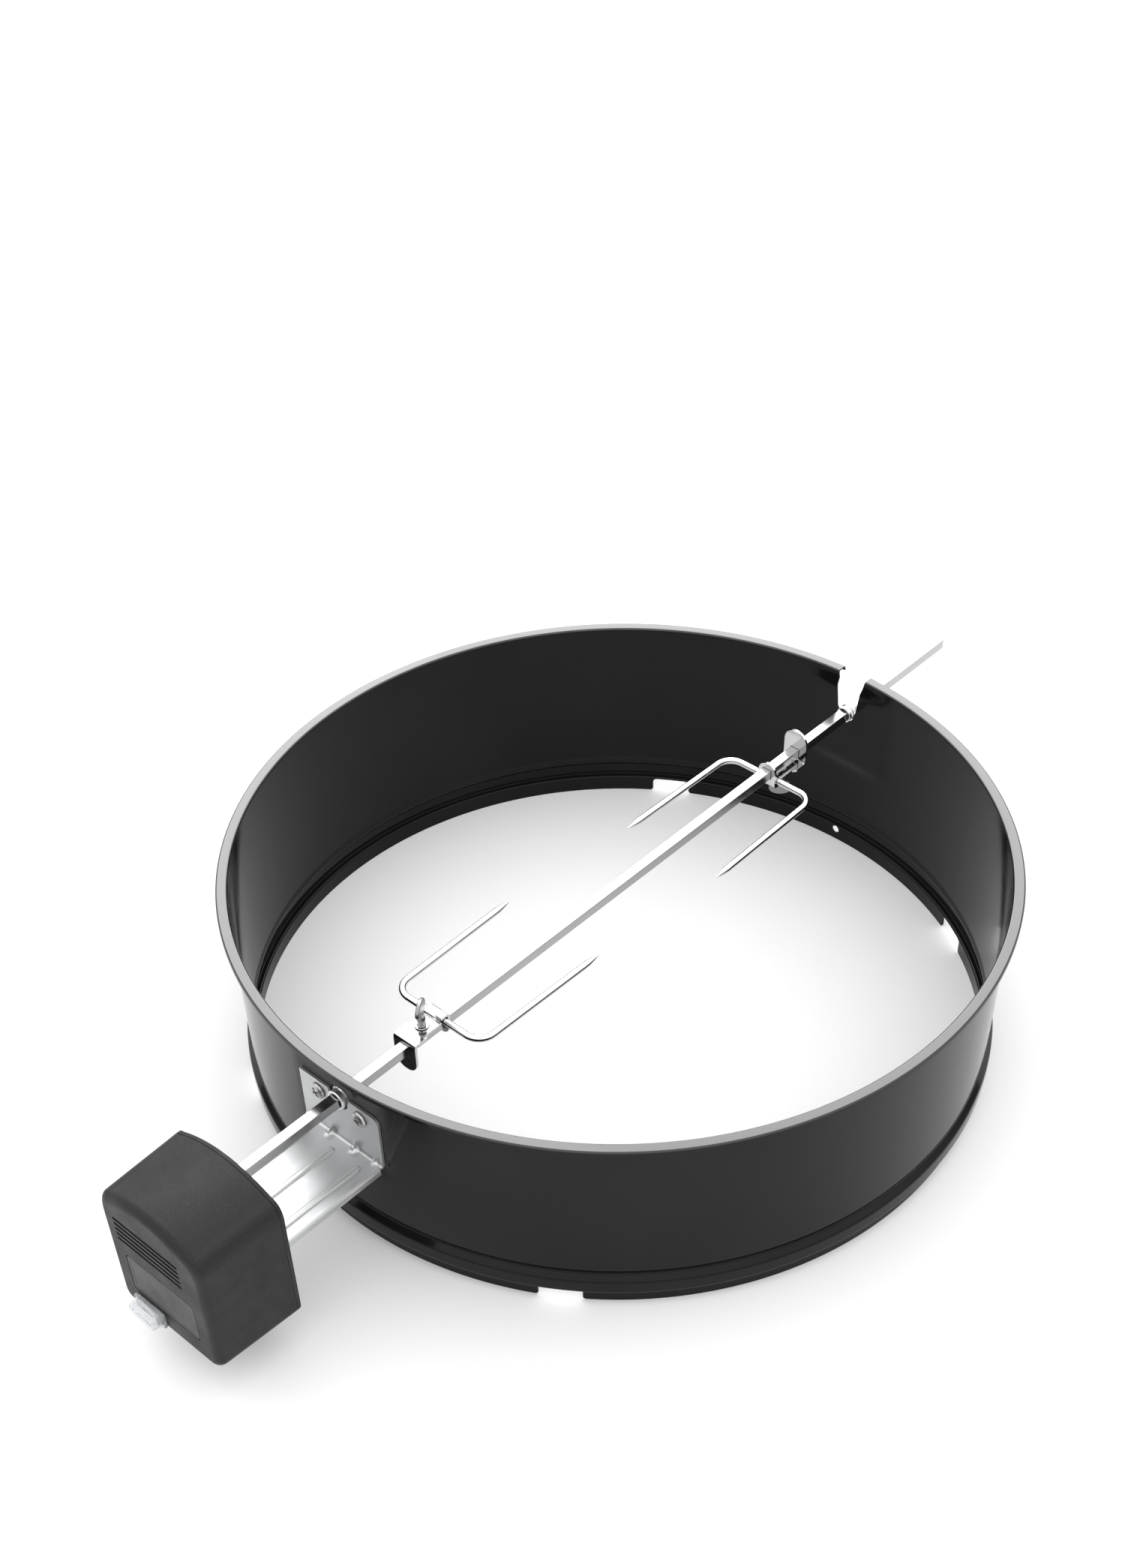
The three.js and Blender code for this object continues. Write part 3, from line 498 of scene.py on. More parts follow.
def add_bevel(obj, width, steps, angle):
    """Rounds every edge sharper than angle."""
    bevel = obj.modifiers.new("soften", "BEVEL")
    bevel.width = width
    bevel.segments = steps
    bevel.limit_method = "ANGLE"
    bevel.angle_limit = math.radians(angle)


def soften(obj, width):
    add_bevel(obj, width, 2, 50)
    return settle(obj)


def thicken(obj, thickness, offset):
    solid = obj.modifiers.new("thicken", "SOLIDIFY")
    solid.thickness = thickness
    solid.offset = offset
    solid.use_even_offset = True
    return settle(obj)


def smooth_step(low, high, value):
    t = min(max((value - low) / (high - low), 0), 1)
    return t * t * (3 - 2 * t)


def add_piece(name, obj, material, body, nodes, smooth=32):
    """Names a finished shape, moves it into the row frame, and hands it to its body.

    Edges sharper than smooth degrees stay sharp. The last modifier keeps the large flat faces flat.
    """
    obj.name = name
    obj.data.name = name
    moved(obj, shift(RING_X * MM, 0, 0) @ Matrix.Scale(MM, 4))
    obj.data.materials.clear()
    obj.data.materials.append(material)
    obj.data.shade_smooth()
    obj.data.set_sharp_from_angle(angle=math.radians(smooth))
    level = obj.modifiers.new("level", "WEIGHTED_NORMAL")
    level.keep_sharp = True
    level.weight = 100
    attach(obj, body)
    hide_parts(*nodes)
    return obj


# ---------------------------------------------------------------- ring
RING_STEPS = 432
SKIRT_RADIUS = 280.6
BEAD_RADIUS = 285.2
WALL_RADIUS = 281.9
BEAD_LOW = 12.4
BEAD_HIGH = 24
LIP_DROP = 2.9             # how far the turned-down lip hangs from the rim
BORE_RADIUS = 8.4          # hole for the spit on the motor side
SLOT_HALF = 7.2
VENT_RADIUS = 3.2
VENT_Z = 9.3
NOTCH_ANGLES = (31.5, -31.5, 146.6, -146.6)
NOTCH_HALF = 15.5
NOTCH_HEIGHT = 11.5
SKIRT_CUT_START = 272      # tools that cut the skirt start inside it, at this radius
PAD_LOW = 74               # the two flat pads of the wall begin at this height
PAD_FADE = 12              # reach their full depth this much higher
PAD_HIGH = 150             # and fade out between this height and the rim


def ring_path():
    """Middle of the sheet, from the skirt's lower edge to the turned-down lip, as (radius, z)."""
    rim_top = RING_HEIGHT - SHEET / 2
    rim_edge = RIM_RADIUS - SHEET / 2
    corners = [(SKIRT_RADIUS, 0, 0), (SKIRT_RADIUS, BEAD_LOW, 1.1), (BEAD_RADIUS, BEAD_LOW + 0.8, 1.4),
               (BEAD_RADIUS, BEAD_HIGH, 2.6), (SKIRT_RADIUS + 0.1, BEAD_HIGH + 5, 2.6),
               (WALL_RADIUS, BEAD_HIGH + 10, 5), (WALL_RADIUS, 90, 0),
               (WALL_RADIUS, rim_top, 1.1), (rim_edge, rim_top, 0.8), (rim_edge, rim_top - LIP_DROP, 0)]
    return divide(rounded_path(corners, 6), 5.0)


def pad_pressed(x, y, z):
    """x of a point of the wall once the two flat pads are pressed where the spit passes."""
    amount = smooth_step(PAD_LOW, PAD_LOW + PAD_FADE, z) * (1 - smooth_step(PAD_HIGH, RING_HEIGHT - 5, z))
    excess = abs(x) - PAD_X - (math.hypot(x, y) - WALL_RADIUS)
    far_from_pad = -3
    if excess <= far_from_pad:
        return x
    soft = 0.25
    pressed = (excess + math.sqrt(excess * excess + soft * soft)) / 2
    return x - math.copysign(pressed * amount, x)


def ring_shell():
    """The uncut ring: its sheet's path given a thickness, turned, and pressed flat at the two pads."""
    path = ring_path()
    out = normals(path)
    inside = [p + n * SHEET / 2 for p, n in zip(path, out)]
    outside = [p - n * SHEET / 2 for p, n in zip(path, out)]
    profile = inside + outside[::-1]
    shell = turned([(p.x, p.y) for p in profile], RING_STEPS)
    for vertex in shell.data.vertices:
        vertex.co.x = pad_pressed(*vertex.co)
    return shell


def slot_cutter():
    """The open slot that the spit is laid in. It flares where it leaves the rim."""
    right = [(SLOT_HALF + 0.3, AXIS_Z + 1.2), (SLOT_HALF + 1.6, AXIS_Z + 4),
             (SLOT_HALF + 4.3, RING_HEIGHT - 6), (SLOT_HALF + 5.3, RING_HEIGHT - 1),
             (SLOT_HALF + 6.1, RING_HEIGHT + 4)]
    outline = arc(0, AXIS_Z, SLOT_HALF, 180, 360, 16) + right + mirrored(right)
    return upright([outline], PAD_X - 14, 34)


def notch_outline(foot=2.5, top=3):
    """A notch in the skirt's lower edge, with rounded feet and rounded upper corners."""
    right = [(NOTCH_HALF + foot, -3)] + arc(NOTCH_HALF + foot, foot, foot, 270, 180, 5)
    right += arc(NOTCH_HALF - top, NOTCH_HEIGHT - top, top, 0, 90, 5)
    return right + mirrored(right)


def ring():
    """The ring with its slot, notches and holes. Its rim, where the enamel is thick, shines more."""
    notches = []
    for angle in NOTCH_ANGLES:
        tool = upright([notch_outline()], SKIRT_CUT_START, 16)
        notches.append(moved(tool, Matrix.Rotation(math.radians(angle), 4, "Z")))
    holes = [rod_x(VENT_RADIUS, SKIRT_CUT_START - 2, SKIRT_CUT_START + 20, 0, VENT_Z),
             rod_x(BORE_RADIUS, -PAD_X - 8, -PAD_X + 8, 0, AXIS_Z)]
    for side in (-1, 1):
        holes.append(rod_x(SCREW_HOLE_RADIUS, -PAD_X - 6, -PAD_X + 6, side * SCREW_Y, SCREW_Z, 24))
    shell = cut(ring_shell(), slot_cutter(), *notches, *holes)
    piece = add_piece("ring", shell, enamel, "ring", ["ring_shell"], 40)
    piece.data.materials.append(rim_enamel)
    rim_low = (RING_HEIGHT - 3) * MM
    for face in piece.data.polygons:
        on_rim = face.center.z > rim_low and face.normal.z > 0.35
        face.material_index = 1 if on_rim else 0


# ---------------------------------------------------------------- bracket and its fasteners
PLATE_TOP = 133.0
BEND = 2.4                 # radius of the bends of the bracket's sheet
RIB_FOOT = 2.6             # from a rib's ridge to its foot
RIB_HEIGHT = 1.5
RIB_CENTRES = (-26, 0, 26)
RIB_START_X = -292
RIB_END_X = TRAY_END_X + 12
PLATE_NOTCH_RADIUS = 8.9


def rib_height(x, y):
    """Height of the three pressed ribs above the tray."""
    best = 0.0
    for centre in RIB_CENTRES:
        dx = max(x - RIB_START_X + RIB_FOOT, RIB_END_X - x, 0)
        distance = math.hypot(dx, y - centre) / RIB_FOOT
        if distance < 1:
            best = max(best, RIB_HEIGHT * math.sqrt(1 - distance ** 4))
    return best


def dimple(y, s):
    """How far the bend is pressed out by its two large and two small dimples; s is measured along it."""
    total = 0.0
    for centre, size, depth in ((-12, 2.6, 2.6), (12, 2.6, 2.6), (-31, 1.8, 1.2), (31, 1.8, 1.2)):
        reach = ((y - centre) / size) ** 2 + (s / (size * 1.7)) ** 2
        total += depth * math.exp(-reach ** 1.5)
    return total


def bracket_sheet():
    """Top surface of the bracket: plate, bend, tray and the tray's two turned-down sides."""
    corners = [(PLATE_OUTER_X, PLATE_TOP, 0), (PLATE_OUTER_X, TRAY_TOP, BEND), (TRAY_END_X, TRAY_TOP, 0)]
    path = divide(rounded_path(corners, 8), 1.3)
    corner = min(range(len(path)), key=lambda i: (path[i] - Vector((PLATE_OUTER_X, TRAY_TOP))).length)
    lengths = distances(path)
    flat = BRACKET_HALF - BEND
    count = 174
    columns = [-flat + 2 * flat * i / count for i in range(count + 1)]
    bm = bmesh.new()
    rows = []
    for i, (point, normal) in enumerate(zip(path, normals(path))):
        row = []
        for y in columns:
            raise_by = dimple(y, lengths[i] - lengths[corner])
            if i > corner:
                raise_by += rib_height(point.x, y)
            spot = point - normal * raise_by
            row.append(bm.verts.new((spot.x, y, spot.y)))
        rows.append(row)
    skin(bm, rows)
    turned_from = corner + 4
    for side in (-1, 1):
        edge = [row[-1 if side > 0 else 0] for row in rows]
        tips = [bm.verts.new((p.x, side * BRACKET_HALF, p.y)) for p in path[:turned_from]]
        skin(bm, [edge[:turned_from], tips])
        strips = []
        for point, start in zip(path[turned_from:], edge[turned_from:]):
            strip = [start]
            for y, z in arc(flat, TRAY_TOP - BEND, BEND, 90, 0, 5)[1:]:
                strip.append(bm.verts.new((point.x, side * y, z)))
            strip.append(bm.verts.new((point.x, side * BRACKET_HALF, TRAY_TOP - 6)))
            strips.append(strip)
        skin(bm, strips)
    return from_bmesh(bm)


def plate_trim():
    """Tools for the plate's open notch for the collar, its round corner and its two screw holes."""
    above = PLATE_TOP + 3
    mouth = PLATE_NOTCH_RADIUS + 2.2
    round_off = 6
    notch = arc(0, AXIS_Z, PLATE_NOTCH_RADIUS, 180, 360, 20) + [(mouth, above), (-mouth, above)]
    corner = [(-BRACKET_HALF - 3, above)]
    corner += arc(-BRACKET_HALF + round_off, PLATE_TOP - round_off, round_off, 90, 180, 8)
    corner.append((-BRACKET_HALF - 3, PLATE_TOP - round_off))
    start = PLATE_OUTER_X - 6
    tools = [upright([outline], start, 14) for outline in (notch, corner)]
    for side in (-1, 1):
        tools.append(rod_x(SCREW_HOLE_RADIUS, start, start + 14, side * SCREW_Y, SCREW_Z, 24))
    return tools


def bracket():
    sheet = thicken(bracket_sheet(), PLATE, -1)
    sheet = cut(sheet, *plate_trim())
    add_piece("bracket", sheet, stainless, "ring", ["motor_bracket"], 38)


def pan_screw(head, height, shank, length):
    """Cross-slotted pan-head screw along z: the head's underside is at z = 0 and the head is above it."""
    profile = [(0, height)]
    for degrees in range(10, 91, 10):
        angle = math.radians(degrees)
        profile.append((head * 0.98 * math.sin(angle), height * (0.35 + 0.65 * math.cos(angle))))
    profile += [(head, height * 0.3), (head, 0.25), (head - 0.3, 0), (shank, 0)]
    pitch = 0.8
    z = -0.6
    while z > -length + 1:
        profile += [(shank, z), (shank - 0.45, z - pitch / 2), (shank, z - pitch)]
        z -= pitch
    profile += [(shank - 0.6, -length), (0, -length)]
    screw = from_bmesh(to_bmesh(turned(profile, 40)))
    long = head * 0.62
    short = head * 0.13
    slot = block(-long, long, -short, short, height * 0.5, height * 2)
    cross_slot = block(-short, short, -long, long, height * 0.5, height * 2)
    return cut(screw, slot, cross_slot)


def hex_nut(radius, bore, thickness):
    return slab([circle(0, 0, radius, 6), circle(0, 0, bore, 36)], thickness, 0.4, 3)


def bracket_fasteners():
    for name, side, twist in (("left", 1, 32), ("right", -1, 18)):
        screw = pan_screw(6.2, BRACKET_HEAD_HEIGHT, 2.5, 14)
        turn = Matrix.Rotation(math.radians(twist), 4, "Z")
        face_out = Matrix.Rotation(-math.pi / 2, 4, "Y")
        place = shift(PLATE_OUTER_X - GAP, side * SCREW_Y, SCREW_Z) @ face_out @ turn
        add_piece(f"bracket_screw_{name}_head", moved(screw, place), fastener, "ring",
                  [f"bracket_screw_{name}"])
        nut = moved(hex_nut(5, SCREW_HOLE_RADIUS, 4), X_IS_UP)
        place = shift(along(f"bracket_nut_{name}")[0], side * SCREW_Y, SCREW_Z)
        add_piece(f"bracket_hex_nut_{name}", moved(nut, place), fastener, "ring",
                  [f"bracket_nut_{name}"])


# ---------------------------------------------------------------- motor unit
MOTOR_HALF = 51.5
MOTOR_BOTTOM = 31.5
MOTOR_SHOULDER = 129.5
MOTOR_CROWN = 154.5
CROWN_RISE = 10            # the arched top rises this much above its own ends
CROWN_INSET = 9            # and its ends are this far in from the sides
MOTOR_CORNER = 10.0
MOTOR_DRAFT = 0.035        # share by which the unit narrows towards its outer end
MOTOR_EDGE = 6.5
SHELL_WALL = 2.6
MOTOR_MID_Z = (MOTOR_BOTTOM + MOTOR_CROWN) / 2
SLIT_COUNT = 5
SLIT_PITCH = 5
LOWEST_SLIT_Z = 105
SLIT_HALF = 1.3
LABEL_HALF = 33
LABEL_LOW = 55
LABEL_HIGH = 90
SLEEVE_WALL = 2.2
COVER_BORE = 10.5
COVER_SCREWS = ((-40, 46), (40, 46), (-39, 122), (39, 122))


def motor_outline(inset):
    """Outline of the unit seen along the spit, as (y, z), drawn inward by inset."""
    w = MOTOR_HALF - inset
    bottom = MOTOR_BOTTOM + inset
    corner = max(MOTOR_CORNER - inset, 1.5)
    shoulder = MOTOR_SHOULDER - inset
    top = MOTOR_CROWN - CROWN_RISE - inset
    control = 2 * (MOTOR_CROWN - inset) - top
    crown_end = w - CROWN_INSET
    right = arc(w - corner, bottom + corner, corner, -90, 0, 8)
    right += [(w, bottom + (shoulder - bottom) * k) for k in (0.3, 0.6)]
    right += bezier((w, shoulder), (w, top - 1.5), (crown_end, top), 8)
    crown = bezier((crown_end, top), (0, control), (-crown_end, top), 24)
    crown.append((-crown_end, top))
    return right + crown + mirrored(right)


def drafted(x, y, z):
    """A point of the outline at x, drawn inward by the moulding draft of the unit."""
    share = min(max((HOUSING_START_X - x) / (HOUSING_START_X - MOTOR_END_X), 0), 1)
    scale = 1 - MOTOR_DRAFT * share
    return (x, y * scale, MOTOR_MID_Z + (z - MOTOR_MID_Z) * scale)


def motor_ring(x, inset):
    return [drafted(x, y, z) for y, z in motor_outline(inset)]


def rounded_end(x, edge, inset, steps):
    """Rings that close the unit at x with a rounded edge, where its sides are drawn inward by inset."""
    rings = []
    for i in range(steps + 1):
        angle = math.pi / 2 * i / steps
        rings.append(motor_ring(x + edge * (1 - math.sin(angle)), inset + edge * (1 - math.cos(angle))))
    return rings


def housing():
    """Hollow shell of the unit, with its vent slits, label recess and switch opening."""
    straight = MOTOR_END_X + MOTOR_EDGE - HOUSING_START_X
    rings = [motor_ring(HOUSING_START_X + straight * k / 4, 0) for k in range(4)]
    outer = loft(rings + rounded_end(MOTOR_END_X, MOTOR_EDGE, 0, 7), closed=False)
    inside = [motor_ring(HOUSING_START_X + 10, SHELL_WALL)]
    inside += rounded_end(MOTOR_END_X + SHELL_WALL, MOTOR_EDGE - SHELL_WALL, SHELL_WALL, 4)
    tools = [loft(inside, closed=False)]
    start = MOTOR_END_X - 3
    for i in range(SLIT_COUNT):
        z = LOWEST_SLIT_Z + SLIT_PITCH * i
        slit = rounded_rectangle(-27, 37, z - SLIT_HALF, z + SLIT_HALF, 1.2, 4)
        tools.append(upright([slit], start, 9))
    room = 0.6
    recess = rounded_rectangle(-LABEL_HALF - room, LABEL_HALF + room, LABEL_LOW - room, LABEL_HIGH + room, 3)
    tools.append(upright([recess], start, 4))
    tools.append(block(start, start + 9, SWITCH_Y - 12.6, SWITCH_Y + 12.6, SWITCH_Z - 4.8, SWITCH_Z + 4.8))
    shell = soften(cut(outer, *tools), 0.35)
    add_piece("motor_shell", shell, black_plastic, "motor", ["motor_housing"], 45)


def cover():
    """Front plate of the unit with the sleeve that takes the tray, and its four screws."""
    half = BRACKET_HALF + 0.6
    low = TRAY_TOP - 6.6
    high = TRAY_TOP + 2.4
    mouth = rounded_rectangle(-half, half, low, high, 0.8)
    holes = [circle(0, AXIS_Z, COVER_BORE, 45)]
    holes += [circle(y, z, 1.9, 24) for y, z in COVER_SCREWS]
    holes.append(mouth)
    front = upright([motor_outline(0)] + holes, MOTOR_FACE_X - COVER_THICKNESS, COVER_THICKNESS, 0.3)
    around = rounded_rectangle(-half - SLEEVE_WALL, half + SLEEVE_WALL, low - SLEEVE_WALL,
                               high + SLEEVE_WALL, 1.5)
    sleeve = upright([around, mouth], MOTOR_FACE_X - 13, 12)
    add_piece("motor_front_plate", weld(front, sleeve), black_plastic, "motor", ["motor_cover"],
              45)
    for i, (y, z) in enumerate(COVER_SCREWS):
        screw = pan_screw(3.2, 2.0, 1.6, 6)
        place = shift(MOTOR_FACE_X + GAP, y, z) @ Matrix.Rotation(math.pi / 2, 4, "Y")
        place = place @ Matrix.Rotation(math.radians(25 + 40 * i), 4, "Z")
        add_piece(f"front_plate_screw_{i + 1}", moved(screw, place), fastener, "motor",
                  [f"cover_screw_{i + 1}"])


def label():
    """Blank panel with a raised frame, where the unit has its printed plate."""
    border = 2.5
    outline = rounded_rectangle(-LABEL_HALF, LABEL_HALF, LABEL_LOW, LABEL_HIGH, 3)
    field = rounded_rectangle(-LABEL_HALF + border, LABEL_HALF - border, LABEL_LOW + border,
                              LABEL_HIGH - border, 1.8)
    panel = upright([outline], MOTOR_END_X + 0.1, 0.6, 0.15, 2)
    sunk = upright([field], MOTOR_END_X - 0.75, 1)
    add_piece("blank_label", cut(panel, sunk), label_plastic, "motor", ["rating_plate"], 40)


def around_switch(half_width, half_height, radius):
    """Rounded rectangle centred on the switch, as (y, z)."""
    return rounded_rectangle(SWITCH_Y - half_width, SWITCH_Y + half_width, SWITCH_Z - half_height,
                             SWITCH_Z + half_height, radius)


SWITCH_FRAME_THICKNESS = 2.4
SWITCH_FRAME_X = MOTOR_END_X - GAP - SWITCH_FRAME_THICKNESS


def switch_frame():
    outlines = [around_switch(15, 7, 1.6), around_switch(12, 4.4, 0.9)]
    rim = upright(outlines, SWITCH_FRAME_X, SWITCH_FRAME_THICKNESS, 0.55)
    add_piece("switch_frame", rim, bezel_plastic, "motor", ["switch_bezel"], 40)


def switch_key():
    """Rocker key, drawn from above as (x, y): its outer face is hollowed between its two raised ends."""
    half = 11.2
    width = 8
    back = 3
    end = -4.4
    hollow = -2.6
    face = [(hollow + (end - hollow) * (k / 6) ** 2, half * k / 6) for k in range(-5, 6)]
    outline = [(end, -half)] + face + [(end, half), (back, half - 1), (back, -half + 1)]
    tilt = Matrix.Rotation(math.radians(-5), 4, "Z")
    key = moved(slab([outline], width, 0.5), shift(MOTOR_END_X, SWITCH_Y, SWITCH_Z - width / 2) @ tilt)
    add_piece("switch_key", key, pale_plastic, "rocker", ["switch_rocker"], 40)


def switch_cover():
    """Soft clear hood over the key, open towards the unit."""
    foot = SWITCH_FRAME_X - GAP
    height = 7.5
    levels = 8
    rings = []
    for level in range(levels + 1):
        t = level / levels
        inset = 3.4 * (1 - math.cos(math.pi / 2 * t)) + 0.4 * math.sin(math.pi * 2 * t)
        x = foot - height * math.sin(math.pi / 2 * t)
        outline = around_switch(13.4 - inset, 6 - inset, max(3.2 - inset, 0.8))
        rings.append([(x, y, z) for y, z in outline])
    bm = to_bmesh(loft(rings, closed=False))
    base = [face for face in bm.faces if all(abs(v.co.x - foot) < 1e-3 for v in face.verts)]
    bmesh.ops.delete(bm, geom=base, context="FACES")
    hood = thicken(from_bmesh(bm), 0.8, -1)
    add_piece("switch_cover", hood, clear_plastic, "motor", ["switch_boot"], 50)


# ---------------------------------------------------------------- spit and forks
WIRE_Z = 7.0               # the wire lies this far above the spit's middle
PRONG_POINT = 12.0         # length of a prong's tapered point
PRONG_TIP_SHARE = 0.12     # thickness of its tip, as a share of the wire's
PRONG_ROOT_Y = 41.5
PRONG_TIP_Y = 43.5
THUMB_X = -14.5


def spit():
    half = SPIT_SIDE / 2
    bar = slab([rounded_rectangle(-half, half, -half, half, 0.55, 3)], SPIT_END - SPIT_START, 0.5, 2)
    bar = moved(moved(bar, X_IS_UP), shift(SPIT_START, 0, AXIS_Z))
    add_piece("square_spit", bar, spit_steel, "spit", ["spit_rod"], 40)


def collar(name, node, grooves):
    """Turned collar on the spit. Each groove is given by its two ends, counted from the middle."""
    start, end = along(node)
    reach = (end - start) / 2
    radius = extent(node, 2) / 2
    bore = SPIT_SIDE * 0.72
    neck = radius - 0.8
    round_off = 0.4
    slope = 0.2
    profile = [(bore, -reach), (radius - round_off, -reach), (radius, -reach + round_off)]
    for low, high in grooves:
        profile += [(radius, low - slope), (radius - slope, low), (neck, low + slope)]
        profile += [(neck, high - slope), (radius - slope, high), (radius, high + slope)]
    profile += [(radius, reach - round_off), (radius - round_off, reach), (bore, reach)]
    place = shift((start + end) / 2, 0, AXIS_Z) @ Matrix.Rotation(math.pi / 2, 4, "Y")
    add_piece(name, moved(turned(profile, 56), place), turned_steel, "spit", [node], 30)


def fork_place(far):
    """Where a fork stands. The far fork is turned about so that its prongs point back at the near one."""
    if far:
        return shift(FAR_FORK_X, 0, AXIS_Z) @ Matrix.Rotation(math.pi, 4, "Y")
    return shift(NEAR_FORK_X, 0, AXIS_Z)


def prong_share(left):
    """Thickness of the wire at a distance from the prong's tip, as a share of its full thickness."""
    if left > PRONG_POINT:
        return 1.0
    if left < 1:
        return PRONG_TIP_SHARE
    return PRONG_TIP_SHARE + (1 - PRONG_TIP_SHARE) * (left / PRONG_POINT) ** 0.8


def fork_wire():
    """One bent wire: a cross piece over the spit and two prongs that end in points."""
    half = rounded_path([(0, 0, 0), (0, PRONG_ROOT_Y, 13.5), (PRONG_LENGTH, PRONG_TIP_Y, 0)], 14)
    half = divide(half, 6.0)
    path = [Vector((p.x, -p.y)) for p in half[:0:-1]] + half
    curve = bpy.data.curves.new("wire", "CURVE")
    curve.dimensions = "3D"
    curve.bevel_depth = WIRE_RADIUS
    curve.bevel_resolution = 8
    curve.use_fill_caps = True
    spline = curve.splines.new("POLY")
    spline.points.add(len(path) - 1)
    for point, spot in zip(spline.points, path):
        point.co = (spot.x, spot.y, WIRE_Z, 1)
        point.radius = prong_share(PRONG_LENGTH - spot.x)
    return settle(new_object("wire", curve))


def tongue_half(radius, from_end):
    """Half width that a strip's round end allows, at a distance from that end."""
    if from_end >= radius:
        return math.inf
    return math.sqrt(max(radius ** 2 - (radius - from_end) ** 2, 1.2))


def fork_clamp():
    """Bent sheet that grips the wire: rear plate, web with a hump over the wire, and front plate."""
    hump = WIRE_RADIUS + GAP + PLATE / 2
    web = 6.3 + PLATE / 2
    top = 11.9 - PLATE / 2
    rear_x = -31
    rear_low = -19.8
    corners = [(rear_x, rear_low, 0), (rear_x, web, 2.6), (-hump, web, 1.2), (-hump, top, 1.9),
               (hump, top, 2.2), (hump, -9, 0)]
    path = divide(rounded_path(corners, 6), 0.9)
    lengths = distances(path)
    rear = 10.5
    front = 8.0
    taper_from = web - rear_low + 9
    bm = bmesh.new()
    rows = []
    for point, s in zip(path, lengths):
        half = rear + (front - rear) * smooth_step(taper_from, taper_from + 4, s)
        half = min(half, tongue_half(rear, s), tongue_half(front, lengths[-1] - s))
        rows.append([bm.verts.new((point.x, half * k / 7, point.y)) for k in range(-7, 8)])
    skin(bm, rows)
    sheet = thicken(from_bmesh(bm), PLATE, 0)
    thread_room = 3.4
    boss = turned([(thread_room, 0), (5.6, 0), (5.2, 1.2), (4.9, 1.5), (thread_room, 1.5)], 40)
    hole = turned([(0, -5), (thread_room, -5), (thread_room, 12), (0, 12)], 32)
    passage = SPIT_SIDE / 2 + 0.4
    square = upright([rounded_rectangle(-passage, passage, -passage, passage, 0.6)], rear_x - 14, 60)
    sheet = cut(sheet, square, moved(hole, shift(THUMB_X, 0, 5)))
    return soften(weld(sheet, moved(boss, shift(THUMB_X, 0, 8.2))), 0.28)


def thumb_screw():
    """Spade-headed thumb screw along z, from just above the spit."""
    profile = [(0, 4.4), (2.3, 4.4)]
    root = 2.5
    crest = 3.0
    z = 4.9
    while z < 13:
        profile += [(root, z), (crest, z + 0.35), (root, z + 0.7)]
        z += 0.85
    profile += [(crest, 14), (3.3, 14.6), (3.3, 16.4), (2.6, 17.6), (0, 17.6)]
    shank = turned(profile, 36)
    lobe = []
    for degrees in range(-58, 239, 9):
        angle = math.radians(degrees)
        lobe.append((9.2 * math.cos(angle), 24.5 + 6.4 * math.sin(angle)))
    neck = bezier((3.0, 15.4), (3.2, 18.2), lobe[0], 5)[1:]
    outline = [(-3.0, 14.8), (3.0, 14.8)] + neck + lobe + mirrored(neck)
    thickness = 3.0
    head = moved(slab([outline], thickness, 1.0, 4), Y_IS_DOWN)
    return weld(shank, moved(head, shift(0, thickness / 2, 0)))


def fork(side, place, body, twist):
    """One fork: prongs and clamp ride on the fork's body, and the thumb screw on its own."""
    screw_body = body.replace("fork", "screw")
    turn = shift(THUMB_X, 0, 0) @ Matrix.Rotation(math.radians(twist), 4, "Z")
    add_piece(f"{side}_fork_prongs", moved(fork_wire(), place), chrome, body, [f"{body}_wire"],
              40)
    add_piece(f"{side}_fork_clamp_sheet", moved(fork_clamp(), place), chrome, body, [f"{body}_clamp"],
              40)
    add_piece(f"{side}_thumb_screw", moved(thumb_screw(), place @ turn), cast_metal, screw_body,
              [f"{body}_thumb_screw"], 40)


# ---------------------------------------------------------------- pieces kept from the CAD model
def dress_inner_parts():
    """The parts inside the motor unit keep their shapes and get a finish and a small bevel."""
    finishes = {"gear_plate": stainless, "motor_stator": iron, "motor_rotor": iron,
                "idler_gear": nylon, "drive_socket": brass}
    for node, material in finishes.items():
        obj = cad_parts[node]
        for holder in obj.material_slots:
            holder.material = material
        add_bevel(obj, 0.2 * MM, 1, 40)


# ---------------------------------------------------------------- stage, light and camera
RING_CENTRE = Vector((RING_X * MM, 0, 0))          # this section is in metres
FLOOR_RADIUS = 14
FLOOR_DROP = 0.0002


def stage():
    bm = bmesh.new()
    bmesh.ops.create_circle(bm, cap_ends=True, segments=96, radius=FLOOR_RADIUS)
    floor = from_bmesh(bm)
    floor.name = "floor"
    floor.data.materials.append(floor_material())
    floor.location.z = -FLOOR_DROP


def soft_light(name, offset, side, radiance):
    """A large square panel, invisible to the camera itself, that faces the middle of the ring."""
    data = bpy.data.lights.new(name, "AREA")
    data.shape = "RECTANGLE"
    data.size = side
    data.size_y = side
    data.energy = radiance * side * side * math.pi
    obj = bpy.data.objects.new(name, data)
    bpy.context.scene.collection.objects.link(obj)
    obj.location = RING_CENTRE + Vector(offset)
    way = RING_CENTRE + Vector((0, 0, 0.1)) - obj.location
    obj.rotation_euler = way.to_track_quat("-Z", "Y").to_euler()
    obj.visible_camera = False
    return obj


